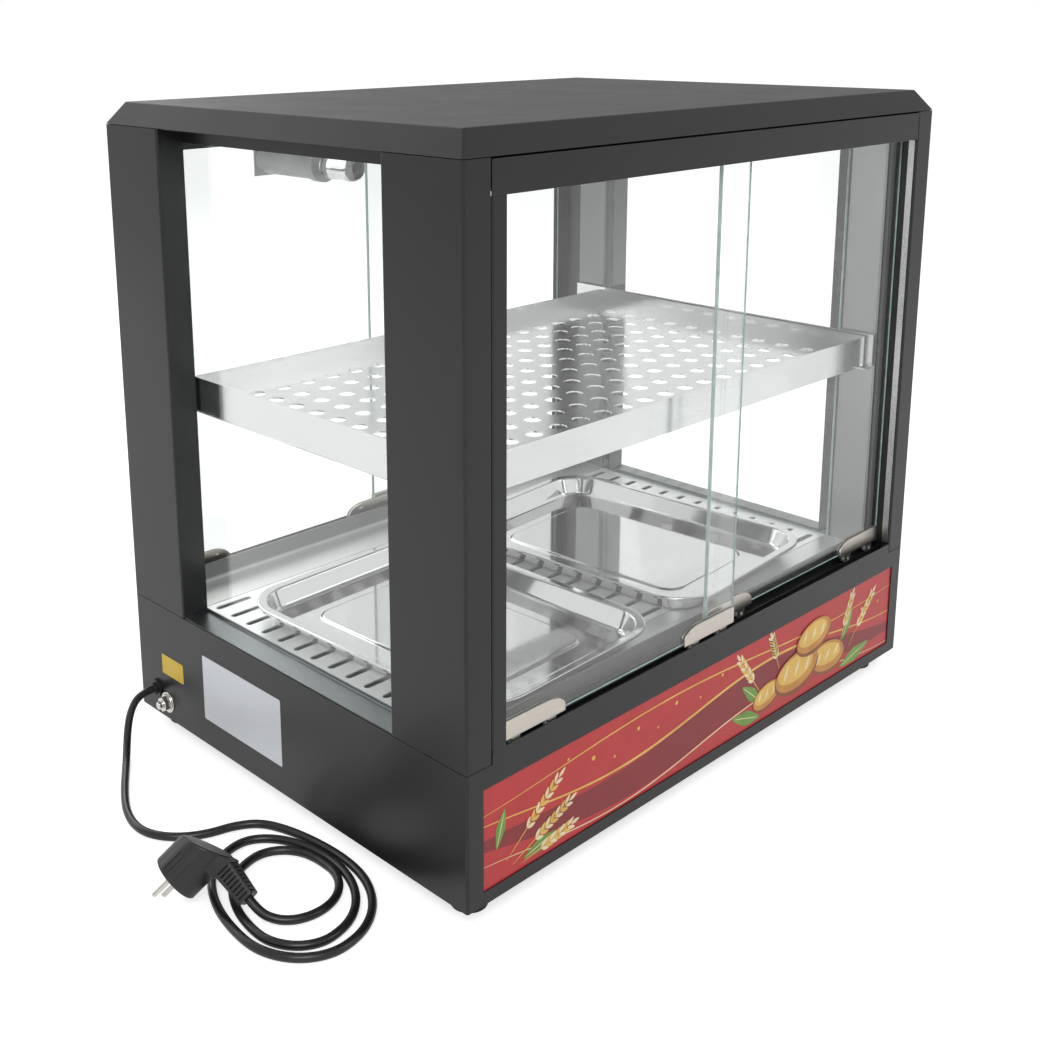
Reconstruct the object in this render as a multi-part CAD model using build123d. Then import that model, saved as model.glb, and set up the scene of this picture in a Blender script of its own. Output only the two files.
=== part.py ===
from build123d import *
import os
from math import sqrt, tan, radians

# A heated display case for a counter: a folded steel base with heaters, four corner posts, a chamfered
# lid, glass sides, two sliding glass doors at the front and two at the back, a perforated shelf, two
# loose pans and a mains cord. Millimetres, X to the right, Y to the back, Z up, standing on z = 0.

# Whole case
case_width = 660.0
case_depth = 480.0
case_height = 628.0
foot_height = 18.0
base_height = 120.0
lid_rise = 20.0
lid_inset = 14.0
lid_flange = 8.0
sheet = 1.2
bend = 2.4
glass = 4.0
slide_gap = 0.3
seat_gap = 0.2

# Corner posts and their inner liners
post_face = 28.0
post_side = 88.0
post_return = 27.0
jamb_return = 33.0
liner_flange = 9.0
post_seam = 0.6

# Base box
track_ledge = 28.0
bottom_lip = 40.0
foot_radius = 17.5
foot_taper = 2.0
foot_screw_radius = 5.0
foot_screw_depth = 10.0
foot_inset_x = 31.0
foot_inset_y = 30.0
banner_side_strip = 18.0
banner_top_strip = 18.5
banner_bottom_strip = 11.5
banner_lap = 5.0
banner_thickness = 2.0
vent_length = 60.0
vent_width = 5.0
vent_pitch_x = 110.0
vent_pitch_y = 60.0
vent_rows = 4

# Door rails and tracks, each with two grooves side by side
rail_height = 28.0
rail_slot = 16.0
rail_fin_gap = 4.0
track_height = 10.0
track_floor = 2.0
track_fin_gap = 3.0
track_setback = 5.5
track_pitch = 12.0
jamb_lip = 15.0
jamb_clear = 1.5

# Sliding doors with their clips and rollers
door_overlap = 28.0
door_setback = 12.0
door_lift_room = 4.0
door_side_gap = 0.5
clip_length = 75.0
clip_height = 16.0
clip_wall = 1.5
clip_web = 2.0
clip_corner = 8.0
ear_width = 10.0
ear_clear = 1.2
roller_radius = 4.5
roller_width = 3.4
roller_clear = 0.7
roller_spacing = 42.0
axle_radius = 1.5
running_fit = 0.05

# Fixed glass sides
glass_overlap = 12.0
glass_edge_gap = 1.0
retainer_height = 4.0
retainer_edge = 1.5
soffit_drop = 14.0
soffit_gap = 4.0

# Ceiling and lamp
ceiling_drop = 12.0
ceiling_edge_gap = 1.0
lamp_wall_gap = 58.0
lamp_back = 100.0
lamp_drop = 17.0
lamp_holder_length = 82.0
lamp_holder_radius = 13.5
lamp_collar_radius = 15.0
lamp_collar_length = 10.0
lamp_bracket_width = 30.0
lamp_bracket_foot = 22.0
bulb_cap_radius = 7.0
bulb_cap_length = 22.0
bulb_radius = 11.5
bulb_length = 48.0
bulb_shoulder = 8.0

# Floor of the display space
floor_edge_gap = 1.0
sill_depth = 51.0
sill_lip = 20.0
slot_length = 40.0
slot_width = 5.0
slot_pitch = 25.0
slot_edge = 11.0
slot_columns = 3
liner_rim = 15.0
liner_lap = 10.0
liner_rib = 24.0

# Shelf and the angle rails that carry it
shelf_level = 340.0
shelf_height = 32.0
shelf_front_gap = 41.0
shelf_rear_gap = 75.0
shelf_side_gap = 5.0
shelf_recess = 17.0
shelf_ledge = 12.0
shelf_hole = 16.0
shelf_hole_sides = 8
shelf_pitch = 30.0
shelf_margin = 20.0
shelf_corner = 3.0
shelf_rail_gap = 0.6
shelf_rail_top = 2.0
shelf_rail_foot = 14.0
shelf_rail_end_gap = 34.0
shelf_boss_radius = 5.0
shelf_boss_inset = 20.0

# Loose pans
pan_width = 241.0
pan_length = 324.0
pan_depth = 20.0
pan_corner = 45.0
pan_rim = 9.0
pan_rim_drop = 3.0
pan_sheet = 0.8
pan_slope = 22.0
pan_boss_edge = 32.0
pan_boss_height = 1.6
pan_boss_corner = 18.0
pan_wall_gap = 16.5
pan_gap = 34.0
pan_front_gap = 9.5
pan_stagger = 14.5
left_pan_turn = 2.0
right_pan_turn = 4.0

# Heaters in the base
shield_side_gap = 45.0
shield_end_gap = 90.0
shield_level = 60.0
heater_radius = 4.0
heater_level = 100.0
heater_inner_x = 60.0
heater_side_gap = 80.0
heater_front_gap = 115.0
heater_rear_gap = 105.0
heater_bend = 30.0
heater_pin_radius = 1.5
heater_pin_length = 12.0
saddle_y = 90.0
saddle_rise = 8.0
saddle_margin = 16.0

# Control panel, set back behind a window in the rear wall
panel_x = 130.0
panel_width = 240.0
panel_height = 84.0
panel_setback = 10.0
panel_lap = 8.0
panel_edge_gap = 0.5
panel_screw_radius = 1.6
panel_screw_head = 3.6
panel_screw_dome = 1.8
panel_screw_inset = 4.5
knob_offset = 70.0
knob_radius = 20.0
knob_height = 17.5
knob_skirt = 5.0
knob_grip_width = 9.0
knob_grip_inset = 2.5
knob_gap = 0.8
spindle_radius = 3.0
spindle_hole = 5.0
thermostat_width = 44.0
thermostat_height = 40.0
thermostat_depth = 30.0
switch_gap = 48.0
switch_width = 30.0
switch_height = 23.0
switch_bezel = 2.0
switch_body_edge = 1.6
switch_depth = 24.0
rocker_radius = 8.5
rocker_width = 22.0
rocker_tilt = 10.0
rocker_valley = 1.5
rocker_clear = 0.4
rocker_pin_radius = 1.5
rocker_pin_length = 1.6
pilot_offset = 100.0
pilot_radius = 5.0
pilot_lens_radius = 6.5
pilot_lens_height = 5.0
pilot_depth = 22.0

# Mains terminal, earth stud, cable gland
terminal_length = 62.0
terminal_width = 22.0
terminal_height = 18.0
terminal_ways = 3
terminal_screw_radius = 3.2
terminal_from_left = 90.0
terminal_from_rear = 60.0
stud_radius = 3.0
stud_reach = 8.0
stud_nut_radius = 6.0
stud_nut_height = 4.5
stud_washer_radius = 7.5
stud_washer = 1.0
stud_rear = 50.0
stud_height = 36.0
gland_rear = 31.0
gland_height = 45.0
gland_flange_radius = 9.0
gland_flange = 2.5
gland_nose_radius = 6.0
gland_reach = 6.0
gland_nut_radius = 9.5
gland_nut = 4.0

# Mains cord. Its places are given out from the left wall, forward from the gland, and above the floor.
cord_diameter = 7.5
cord_radius = cord_diameter / 2
lead_route = [
    (gland_reach, 0.0, gland_height),
    (15.0, 0.0, gland_height),
    (27.0, 2.5, 42.0),
    (37.5, 8.5, 33.5),
    (46.0, 17.0, 22.0),
    (54.0, 28.0, 11.5),
    (63.0, 41.5, 5.0),
    (73.0, 57.0, cord_radius),
    (84.0, 74.5, cord_radius),
    (94.5, 92.5, cord_radius),
    (104.0, 111.5, cord_radius),
    (110.5, 132.0, cord_radius),
    (111.0, 153.0, cord_radius),
    (102.0, 172.0, cord_radius),
    (87.0, 186.5, cord_radius),
    (69.0, 196.0, cord_radius),
    (50.0, 200.5, cord_radius),
]
coil_quarters = 9
coil_right, coil_right_step = 8.5, 8.5
coil_front, coil_front_step = 396.0, -16.0
coil_left, coil_left_step = 132.0, -12.0
coil_rear, coil_rear_step = 225.0, 26.0
coil_right_forward, coil_right_forward_step = 310.0, -9.0
coil_front_out = 80.0
coil_left_forward = 335.0
coil_rear_out = 62.0
tail_route = [
    (30.5, 326.5, cord_radius),
    (39.0, 337.5, cord_radius),
    (50.5, 345.0, cord_radius),
    (64.0, 348.2, cord_radius),
    (77.7, 347.0, cord_radius),
    (90.3, 341.4, cord_radius),
    (100.2, 332.2, 5.0),
]
tail_straight = 13.5

# Mains plug, lying on the coil with one pin on the floor
plug_end = (108.0, 308.5, 15.5)
plug_axis = (-0.706, 0.303, -0.640)
plug_cable = (0.105, -0.849, -0.518)
plug_radius = 21.4
plug_cup = 24.0
plug_depth = 45.0
plug_neck_reach = 24.0
plug_neck_width = 20.0
plug_edge = 2.5
plug_relief_axis = 37.0
plug_relief_root = 20.0
plug_relief_length = 35.0
plug_relief_radius = 8.0
plug_relief_tip = 6.0
plug_relief_ribs = 6
plug_relief_groove = 1.4
plug_rib_share = 0.6
plug_notch_width = 6.0
plug_notch_depth = 3.0
plug_notch_height = 16.0
plug_pin_radius = 2.4
plug_pin_length = 19.0
plug_pin_spacing = 19.0

# Places that follow from the sizes above
half_width = case_width / 2
half_depth = case_depth / 2
deck = foot_height + base_height
eave = case_height - lid_rise
door_half = half_width - post_face
wall_x = half_width - post_return
post_inner_y = half_depth - post_side
track_depth = 2 * track_setback + track_pitch
track_y = half_depth - track_depth
deck_y = half_depth - track_ledge
ceiling = eave - ceiling_drop
rail_foot = eave - rail_height
inner_wall = half_depth - sheet
roller_z = deck + track_floor + slide_gap + roller_radius
clip_foot = roller_z + roller_radius + roller_clear
pane_foot = clip_foot + clip_web
pane_top = rail_foot + rail_slot - door_lift_room
door_width = (2 * door_half + door_overlap - door_setback) / 2
stud_y = half_depth - stud_rear
gland_y = half_depth - gland_rear
panel_y = inner_wall - panel_setback
panel_z = foot_height + base_height / 2
knob_x = panel_x - knob_offset
pilot_x = panel_x + pilot_offset
switch_places = (panel_x, panel_x + switch_gap)
on_base = (Align.CENTER, Align.CENTER, Align.MIN)
from_top = (Align.CENTER, Align.CENTER, Align.MAX)
nodes = {}


def block(x0, x1, y0, y1, z0, z1):
    return Pos((x0 + x1) / 2, (y0 + y1) / 2, (z0 + z1) / 2) * Box(x1 - x0, y1 - y0, z1 - z0)


def area(u0, u1, v0, v1):
    return Pos((u0 + u1) / 2, (v0 + v1) / 2) * Rectangle(u1 - u0, v1 - v0)


def folded(side, *points):
    line = FilletPolyline(*points, radius=bend)
    return make_face(line.offset_2d(sheet, side=side).edges())


def upright(section, z0, z1):
    return extrude(Plane.XY.offset(z0) * section, amount=z1 - z0)


def along_x(section, half):
    return extrude(Plane.YZ * section, amount=half, both=True)


def along_y(section, half):
    return extrude(Plane.XZ * section, amount=half, both=True)


def rod(radius, start, end):
    line = Line(start, end)
    return sweep(Plane(origin=start, z_dir=line % 0) * Circle(radius), path=line)


def round_about(part):
    return Rot(0, 0, 180) * part


def left_right(part):
    return Compound(children=[part, mirror(part, about=Plane.YZ)])


def front_rear(part):
    return Compound(children=[part, round_about(part)])


# Base box: front, back and sides in one folded shell, with a ledge round the top and lips below.
def make_base():
    outer = block(-half_width, half_width, -half_depth, half_depth, foot_height, deck)
    outer = fillet(outer.edges().filter_by(Axis.Z), bend)
    inner_x = half_width - sheet
    shell = outer - block(-inner_x, inner_x, -inner_wall, inner_wall, foot_height + sheet, deck - sheet)
    shell -= block(-wall_x, wall_x, -deck_y, deck_y, deck - sheet, deck)
    lip_x = half_width - bottom_lip
    lip_y = half_depth - bottom_lip
    shell -= block(-lip_x, lip_x, -lip_y, lip_y, foot_height, foot_height + sheet)
    window_x = half_width - banner_side_strip
    window_z = foot_height + banner_bottom_strip, deck - banner_top_strip
    shell -= block(-window_x, window_x, -half_depth, -inner_wall, *window_z)
    lap = banner_lap
    nodes["banner_panel"] = block(
        -window_x - lap, window_x + lap, -inner_wall, -inner_wall + banner_thickness,
        window_z[0] - lap, window_z[1] + lap,
    )
    shell -= panel_window(inner_wall, half_depth, 0)
    for x, z in panel_screw_places():
        hole = panel_screw_radius + running_fit
        shell -= rod(hole, (x, inner_wall, z), (x, half_depth, z))
    for y, z, hole in ((stud_y, stud_height, stud_radius), (gland_y, gland_height, gland_nose_radius)):
        shell -= rod(hole + running_fit, (-half_width, y, z), (-inner_x, y, z))
    nodes["base_shell"] = shell

    cover_x = inner_x - floor_edge_gap
    cover_y = inner_wall - floor_edge_gap
    cover = Rectangle(2 * cover_x, 2 * cover_y)
    vents = GridLocations(vent_pitch_x, vent_pitch_y, vent_rows, vent_rows)
    vents = vents * SlotOverall(vent_length, vent_width)
    cover_z = foot_height + sheet
    nodes["bottom_cover"] = upright(cover - vents, cover_z, cover_z + sheet)

    foot = Cone(foot_radius - foot_taper, foot_radius, foot_height, align=on_base)
    foot -= Cylinder(foot_screw_radius, foot_screw_depth, align=on_base)
    span_x = case_width - 2 * foot_inset_x
    span_y = case_depth - 2 * foot_inset_y
    nodes["feet"] = Compound(children=[place * foot for place in GridLocations(span_x, span_y, 2, 2)])


# The control window and its screws, shared by the rear wall and the panel behind it.
def panel_window(y0, y1, smaller):
    half_x = panel_width / 2 - smaller
    half_z = panel_height / 2 - smaller
    return block(panel_x - half_x, panel_x + half_x, y0, y1, panel_z - half_z, panel_z + half_z)


def panel_screw_places():
    half_x = panel_width / 2 + panel_screw_inset
    half_z = panel_height / 3
    return [(panel_x + side * half_x, panel_z + end * half_z) for side in (-1, 1) for end in (-1, 1)]


# Corner posts of folded sheet, open inwards, and the bright liners that close them.
def make_posts():
    x0, x1 = -half_width, -door_half
    y0, y1 = -half_depth, -post_inner_y
    section = folded(Side.LEFT, (-wall_x, y1), (x0, y1), (x0, y0), (x1, y0), (x1, y0 + jamb_return))
    post = upright(section, deck + post_seam, eave - post_seam)
    nodes["post_front_left"] = post
    nodes["post_front_right"] = mirror(post, about=Plane.YZ)
    nodes["post_rear_left"] = mirror(post, about=Plane.XZ)
    nodes["post_rear_right"] = round_about(post)

    near = y0 + jamb_return + seat_gap
    far = -post_inner_y - glass_overlap - glass_edge_gap
    strip = folded(Side.RIGHT, (x1 - liner_flange, far), (x1, far), (x1, near))
    liner = upright(strip, deck, ceiling)
    pair = [liner, mirror(liner, about=Plane.YZ)]
    nodes["post_liners"] = Compound(children=pair + [mirror(piece, about=Plane.XZ) for piece in pair])


# Lid: a shallow tray with four sloped sides, turned in below where it lies on the posts.
def make_lid():
    low = Plane.XY.offset(eave) * Rectangle(case_width, case_depth)
    top = Plane.XY.offset(case_height) * Rectangle(case_width - 2 * lid_inset, case_depth - 2 * lid_inset)
    shape = loft([low.face(), top.face()], ruled=True)
    edges = [edge for edge in shape.edges() if (edge @ 0.5).Z > eave + sheet]
    shape = fillet(edges, bend)
    wall = sheet * sqrt(lid_rise**2 + lid_inset**2) / lid_rise
    foot_in = wall + lid_inset * sheet / lid_rise
    head_in = wall + lid_inset * (lid_rise - sheet) / lid_rise
    low = Plane.XY.offset(eave + sheet) * Rectangle(case_width - 2 * foot_in, case_depth - 2 * foot_in)
    top = Plane.XY.offset(case_height - sheet) * Rectangle(case_width - 2 * head_in, case_depth - 2 * head_in)
    shape -= loft([low.face(), top.face()], ruled=True)
    mouth_x = half_width - lid_flange
    mouth_y = half_depth - lid_flange
    nodes["top_lid"] = shape - block(-mouth_x, mouth_x, -mouth_y, mouth_y, eave, eave + sheet)

    tray_x = door_half - ceiling_edge_gap
    tray_y = track_y - ceiling_edge_gap / 2
    tray = block(-tray_x, tray_x, -tray_y, tray_y, ceiling, eave)
    inner_x = tray_x - sheet
    inner_y = tray_y - sheet
    nodes["ceiling_panel"] = tray - block(-inner_x, inner_x, -inner_y, inner_y, ceiling + sheet, eave)


# Rails above and tracks below the doors: front wall, fin between the two grooves, back wall.
def make_tracks():
    front = -half_depth
    fin = front + track_depth / 2
    grooves = ((front + sheet, fin - sheet / 2), (fin + sheet / 2, front + track_depth - sheet))
    web = rail_foot + rail_slot
    rail = area(front, front + track_depth, rail_foot, eave)
    for near, far in grooves:
        rail -= area(near, far, rail_foot, web)
    rail -= area(front + sheet, front + track_depth - sheet, web + sheet, eave)
    rail -= area(fin - sheet, fin + sheet, rail_foot, rail_foot + rail_fin_gap)
    nodes["top_rails"] = front_rear(along_x(rail, door_half))

    top = deck + track_height
    track = area(front, front + track_depth, deck, top)
    for near, far in grooves:
        track -= area(near, far, deck + track_floor, top)
    track -= area(fin - sheet, fin + sheet, top - track_fin_gap, top)
    nodes["bottom_tracks"] = front_rear(along_x(track, door_half))

    leg = front + track_setback + track_pitch - glass / 2 - jamb_clear
    corner = (-door_half, front)
    strip = folded(Side.LEFT, (-door_half, leg), corner, (-door_half + jamb_lip, front))
    nodes["jamb_strips"] = front_rear(upright(strip, top, rail_foot))


# One sliding door: a frameless pane, two clips under it and two rollers in each clip.
def make_door(name, x0, setback, place):
    y = setback - half_depth
    x1 = x0 + door_width
    pane = block(x0, x1, y - glass / 2, y + glass / 2, pane_foot, pane_top)
    thick = glass / 2 + clip_wall
    clips = []
    rollers = []
    for middle in (x0 + clip_length / 2, x1 - clip_length / 2):
        span = middle - clip_length / 2, middle + clip_length / 2
        outline = area(*span, clip_foot, clip_foot + clip_height)
        outline = fillet(outline.vertices().group_by(Axis.Y)[-1], clip_corner)
        centres = (middle - roller_spacing / 2, middle + roller_spacing / 2)
        ear_foot = roller_z - roller_radius + ear_clear
        for x in centres:
            outline += area(x - ear_width / 2, x + ear_width / 2, ear_foot, clip_foot)
        clip = Pos(0, y, 0) * along_y(outline, thick)
        clip -= block(x0, x1, y - glass / 2, y + glass / 2, pane_foot, pane_foot + clip_height)
        clip -= block(x0, x1, y - glass / 2, y + glass / 2, ear_foot, clip_foot)
        for x in centres:
            ends = (x, y - thick, roller_z), (x, y + thick, roller_z)
            clip -= rod(axle_radius + running_fit, *ends)
            half = roller_width / 2
            wheel = rod(roller_radius, (x, y - half, roller_z), (x, y + half, roller_z))
            rollers.append(wheel + rod(axle_radius, *ends))
        clips.append(clip)
    nodes[name + "_pane"] = place * pane
    nodes[name + "_clips"] = place * Compound(children=clips)
    nodes[name + "_rollers"] = place * Compound(children=rollers)


def make_doors():
    outer_x = -door_half + door_setback
    inner_x = door_half - door_side_gap - door_width
    inner_setback = track_setback + track_pitch
    for side, place in (("front", Rot(0, 0, 0)), ("rear", Rot(0, 0, 180))):
        make_door(side + "_outer_door", outer_x, track_setback, place)
        make_door(side + "_inner_door", inner_x, inner_setback, place)


# Fixed glass sides, the strips that hold them below and the soffits above them.
def make_sides():
    half_y = post_inner_y + glass_overlap
    pane = block(-wall_x, -wall_x + glass, -half_y, half_y, deck, ceiling)
    nodes["side_glass_left"] = pane
    nodes["side_glass_right"] = mirror(pane, about=Plane.YZ)
    points = (-wall_x, deck + retainer_height), (-wall_x, deck), (-half_width + retainer_edge, deck)
    nodes["side_glass_retainers"] = left_right(along_y(folded(Side.RIGHT, *points), post_inner_y))
    points = (-wall_x, eave - soffit_drop), (-wall_x, eave), (-half_width + soffit_gap, eave)
    nodes["side_soffits"] = left_right(along_y(folded(Side.LEFT, *points), post_inner_y))


# Floor: a slotted plate between two flat sills, all on a liner under the base's ledge.
def make_floor():
    plate_y = deck_y - sill_depth
    plate_x = wall_x - floor_edge_gap
    plate = Rectangle(2 * plate_x, 2 * plate_y)
    reach = plate_x - slot_edge - slot_length / 2
    rows = int(2 * (plate_y - slot_width) / slot_pitch) + 1
    plate -= GridLocations(reach, slot_pitch, slot_columns, rows) * SlotOverall(slot_length, slot_width)
    nodes["floor_plate"] = upright(plate, deck - sheet, deck)

    frame = Rectangle(2 * (wall_x + liner_lap), 2 * (deck_y + liner_lap))
    open_x = wall_x - liner_rim
    open_y = plate_y - liner_rim
    frame -= area(-open_x, -liner_rib / 2, -open_y, open_y)
    frame -= area(liner_rib / 2, open_x, -open_y, open_y)
    nodes["floor_liner"] = upright(frame, deck - 2 * sheet, deck - sheet)

    outer = -deck_y + seat_gap
    inner = -plate_y - floor_edge_gap
    section = folded(Side.LEFT, (outer, deck + sill_lip), (outer, deck - sheet), (inner, deck - sheet))
    nodes["sill_plates"] = front_rear(along_x(section, plate_x))


# Shelf: a frame with a perforated plate lying on its inner ledge, on two angle rails.
def make_shelf():
    front = -half_depth + shelf_front_gap
    rear = half_depth - shelf_rear_gap
    half_x = wall_x - glass - shelf_side_gap
    z0 = shelf_level + slide_gap
    z1 = z0 + shelf_height
    plate_z = z1 - shelf_recess
    frame = block(-half_x, half_x, front, rear, z0, z1)
    frame = fillet(frame.edges().filter_by(Axis.Z), shelf_corner)
    frame -= block(-half_x + sheet, half_x - sheet, front + sheet, rear - sheet, plate_z, z1)
    frame -= block(-half_x + sheet, half_x - sheet, front + sheet, rear - sheet, z0, plate_z - sheet)
    ledge = sheet + shelf_ledge
    frame -= block(-half_x + ledge, half_x - ledge, front + ledge, rear - ledge, plate_z - sheet, plate_z)
    nodes["shelf_frame"] = frame

    gap = sheet + seat_gap
    plate = area(-half_x + gap, half_x - gap, front + gap, rear - gap)
    across = int(2 * (half_x - shelf_margin) / shelf_pitch)
    deep = int((rear - front - 2 * shelf_margin) / shelf_pitch)
    hole = Rot(0, 0, 180 / shelf_hole_sides) * RegularPolygon(shelf_hole / 2, shelf_hole_sides)
    plate -= Pos(0, (front + rear) / 2) * GridLocations(shelf_pitch, shelf_pitch, across, deep) * hole
    nodes["shelf_plate"] = upright(plate, plate_z, plate_z + sheet)

    outer = wall_x - glass - shelf_rail_gap
    foot = shelf_level - sheet
    points = (outer, z1 + shelf_rail_top), (outer, foot), (outer - shelf_rail_foot, foot)
    half_y = half_depth - shelf_rail_end_gap
    rail = along_y(folded(Side.RIGHT, *points), half_y)
    boss_y = half_y - shelf_boss_inset
    boss_z = shelf_level + shelf_height / 2
    for y in (-boss_y, boss_y):
        rail += rod(shelf_boss_radius, (outer, y, boss_z), (door_half, y, boss_z))
    nodes["shelf_rails"] = left_right(rail)


# A loose pan pressed from thin sheet: sloped sides, a turned-down rim and a raised middle.
def make_pan():
    lean = tan(radians(pan_slope)) * pan_depth
    width = pan_width - 2 * (pan_rim + lean)
    length = pan_length - 2 * (pan_rim + lean)
    corner = pan_corner - pan_rim - lean
    thin = 2 * pan_sheet
    body = extrude(RectangleRounded(width, length, corner), amount=pan_depth, taper=-pan_slope)
    edge = Plane.XY.offset(pan_depth - pan_rim_drop)
    body += extrude(edge * RectangleRounded(pan_width, pan_length, pan_corner), amount=pan_rim_drop)
    under = RectangleRounded(pan_width - thin, pan_length - thin, pan_corner - pan_sheet)
    drop = lean * pan_rim_drop / pan_depth
    inner = RectangleRounded(width + 2 * (lean - drop), length + 2 * (lean - drop), corner + lean - drop)
    body -= extrude(edge * (under - inner), amount=pan_rim_drop - pan_sheet)
    cavity = RectangleRounded(width - thin, length - thin, corner - pan_sheet)
    body -= extrude(Plane.XY.offset(pan_sheet) * cavity, amount=pan_depth, taper=-pan_slope)
    raised = 2 * pan_boss_edge
    boss = RectangleRounded(width - raised, length - raised, pan_boss_corner)
    recess = RectangleRounded(width - raised - thin, length - raised - thin, pan_boss_corner - pan_sheet)
    body += extrude(Plane.XY.offset(pan_sheet) * boss, amount=pan_boss_height)
    return body - extrude(recess, amount=pan_boss_height)


def make_pans():
    pan = make_pan()
    left_x = -wall_x + glass + pan_wall_gap + pan_width / 2
    left_y = -deck_y + pan_front_gap + pan_length / 2
    z = deck + slide_gap
    nodes["left_pan"] = Pos(left_x, left_y, z) * Rot(0, 0, left_pan_turn) * pan
    right_x = left_x + pan_width + pan_gap
    nodes["right_pan"] = Pos(right_x, left_y + pan_stagger, z) * Rot(0, 0, right_pan_turn) * pan


# Lamp under the ceiling: a bracket with its holder, and a small clear bulb.
def make_lamp():
    x = -wall_x + lamp_wall_gap
    z = ceiling - lamp_drop
    half = lamp_bracket_width / 2
    foot = area(lamp_back, lamp_back + lamp_bracket_foot, ceiling - sheet, ceiling)
    drop = area(lamp_back, lamp_back + sheet, z - half, ceiling)
    bracket = Pos(x, 0, 0) * along_x(foot + drop, half)
    front = lamp_back - lamp_holder_length
    holder = rod(lamp_holder_radius, (x, lamp_back, z), (x, front, z))
    holder += rod(lamp_collar_radius, (x, front + lamp_collar_length, z), (x, front, z))
    holder -= rod(bulb_cap_radius + running_fit, (x, front + bulb_cap_length, z), (x, front, z))
    nodes["lamp_holder"] = bracket + holder

    cap = (bulb_cap_radius, bulb_cap_length), (bulb_cap_radius, 0)
    dome = (bulb_radius, bulb_radius - bulb_length)
    outline = Polyline((0, bulb_cap_length), *cap, (bulb_radius, -bulb_shoulder), dome)
    outline += RadiusArc(dome, (0, -bulb_length), bulb_radius)
    outline += Line((0, -bulb_length), (0, bulb_cap_length))
    nodes["lamp_bulb"] = Pos(x, front, z) * revolve(make_face(outline), axis=Axis.Y)


# Heaters in the base: two bent tubes on saddles over a shield that stands on the bottom cover.
def make_heaters():
    near = -heater_inner_x
    far = -half_width + heater_side_gap
    front = -half_depth + heater_front_gap
    rear = half_depth - heater_rear_gap
    path = FilletPolyline(
        (near, rear, heater_level), (near, front, heater_level),
        (far, front, heater_level), (far, rear, heater_level), radius=heater_bend,
    )
    tube = sweep(Plane(origin=path @ 0, z_dir=path % 0) * Circle(heater_radius), path=path)
    tip = rear + heater_pin_length
    for x in (near, far):
        tube += rod(heater_pin_radius, (x, rear, heater_level), (x, tip, heater_level))
    nodes["heating_elements"] = left_right(tube)

    floor = foot_height + 2 * sheet
    y = half_depth - shield_end_gap
    section = folded(Side.RIGHT, (-y, floor), (-y, shield_level), (y, shield_level), (y, floor))
    shield = along_x(section, half_width - shield_side_gap)
    hole = heater_radius + running_fit
    for y in (-saddle_y, saddle_y):
        ends = far - saddle_margin, near + saddle_margin
        saddle = block(*ends, y - sheet / 2, y + sheet / 2, shield_level, heater_level + saddle_rise)
        for x in (near, far):
            saddle -= rod(hole, (x, y - sheet, heater_level), (x, y + sheet, heater_level))
        shield += saddle
        shield += mirror(saddle, about=Plane.YZ)
    nodes["heat_shield"] = shield


# Rear controls: a set-back panel with the thermostat, two rocker switches and a pilot lamp.
def make_panel():
    dish = panel_window(panel_y - sheet, inner_wall, panel_edge_gap)
    dish -= panel_window(panel_y, inner_wall, panel_edge_gap + sheet)
    rim = panel_window(inner_wall - sheet, inner_wall, -panel_lap)
    rim -= panel_window(inner_wall - sheet, inner_wall, panel_edge_gap)
    panel = dish + rim
    panel -= rod(spindle_hole, (knob_x, panel_y - sheet, panel_z), (knob_x, panel_y, panel_z))
    panel -= rod(pilot_radius + running_fit, (pilot_x, panel_y - sheet, panel_z), (pilot_x, panel_y, panel_z))
    for x in switch_places:
        panel -= switch_block(x, switch_body_edge - running_fit, panel_y - sheet, panel_y)
    screws = []
    for x, z in panel_screw_places():
        panel -= rod(panel_screw_radius + running_fit, (x, inner_wall - sheet, z), (x, inner_wall, z))
        shank = rod(panel_screw_radius, (x, inner_wall - sheet, z), (x, half_depth, z))
        head = Pos(x, half_depth, z) * Rot(-90, 0, 0) * Cone(
            panel_screw_head, panel_screw_head - panel_screw_dome / 2, panel_screw_dome,
            align=on_base,
        )
        screws.append(shank + head)
    nodes["control_panel"] = panel
    nodes["panel_screws"] = Compound(children=screws)


def switch_block(x, edge, y0, y1):
    half_x = switch_width / 2 - edge
    half_z = switch_height / 2 - edge
    return block(x - half_x, x + half_x, y0, y1, panel_z - half_z, panel_z + half_z)


def make_thermostat():
    half_x = thermostat_width / 2
    half_z = thermostat_height / 2
    back = panel_y - sheet
    span_x = knob_x - half_x, knob_x + half_x
    body = block(*span_x, back - thermostat_depth, back, panel_z - half_z, panel_z + half_z)
    spindle_back = back - thermostat_depth / 2
    body -= rod(spindle_radius + running_fit, (knob_x, spindle_back, panel_z), (knob_x, back, panel_z))
    nodes["thermostat_body"] = fillet(body.edges().filter_by(Axis.Y), bend)
    base = panel_y + knob_gap
    tip = base + knob_height - knob_skirt / 2
    spindle_back += slide_gap
    nodes["thermostat_spindle"] = rod(spindle_radius, (knob_x, spindle_back, panel_z), (knob_x, tip, panel_z))
    knob = rod(knob_radius, (knob_x, base, panel_z), (knob_x, base + knob_skirt, panel_z))
    half_grip = knob_grip_width / 2
    top = base + knob_height
    half_z = knob_radius - knob_grip_inset
    grip = block(knob_x - half_grip, knob_x + half_grip, base, top, panel_z - half_z, panel_z + half_z)
    knob += fillet(grip.edges().group_by(Axis.Y)[-1], bend)
    nodes["thermostat_knob"] = knob - rod(spindle_radius, (knob_x, base, panel_z), (knob_x, tip, panel_z))


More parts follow.
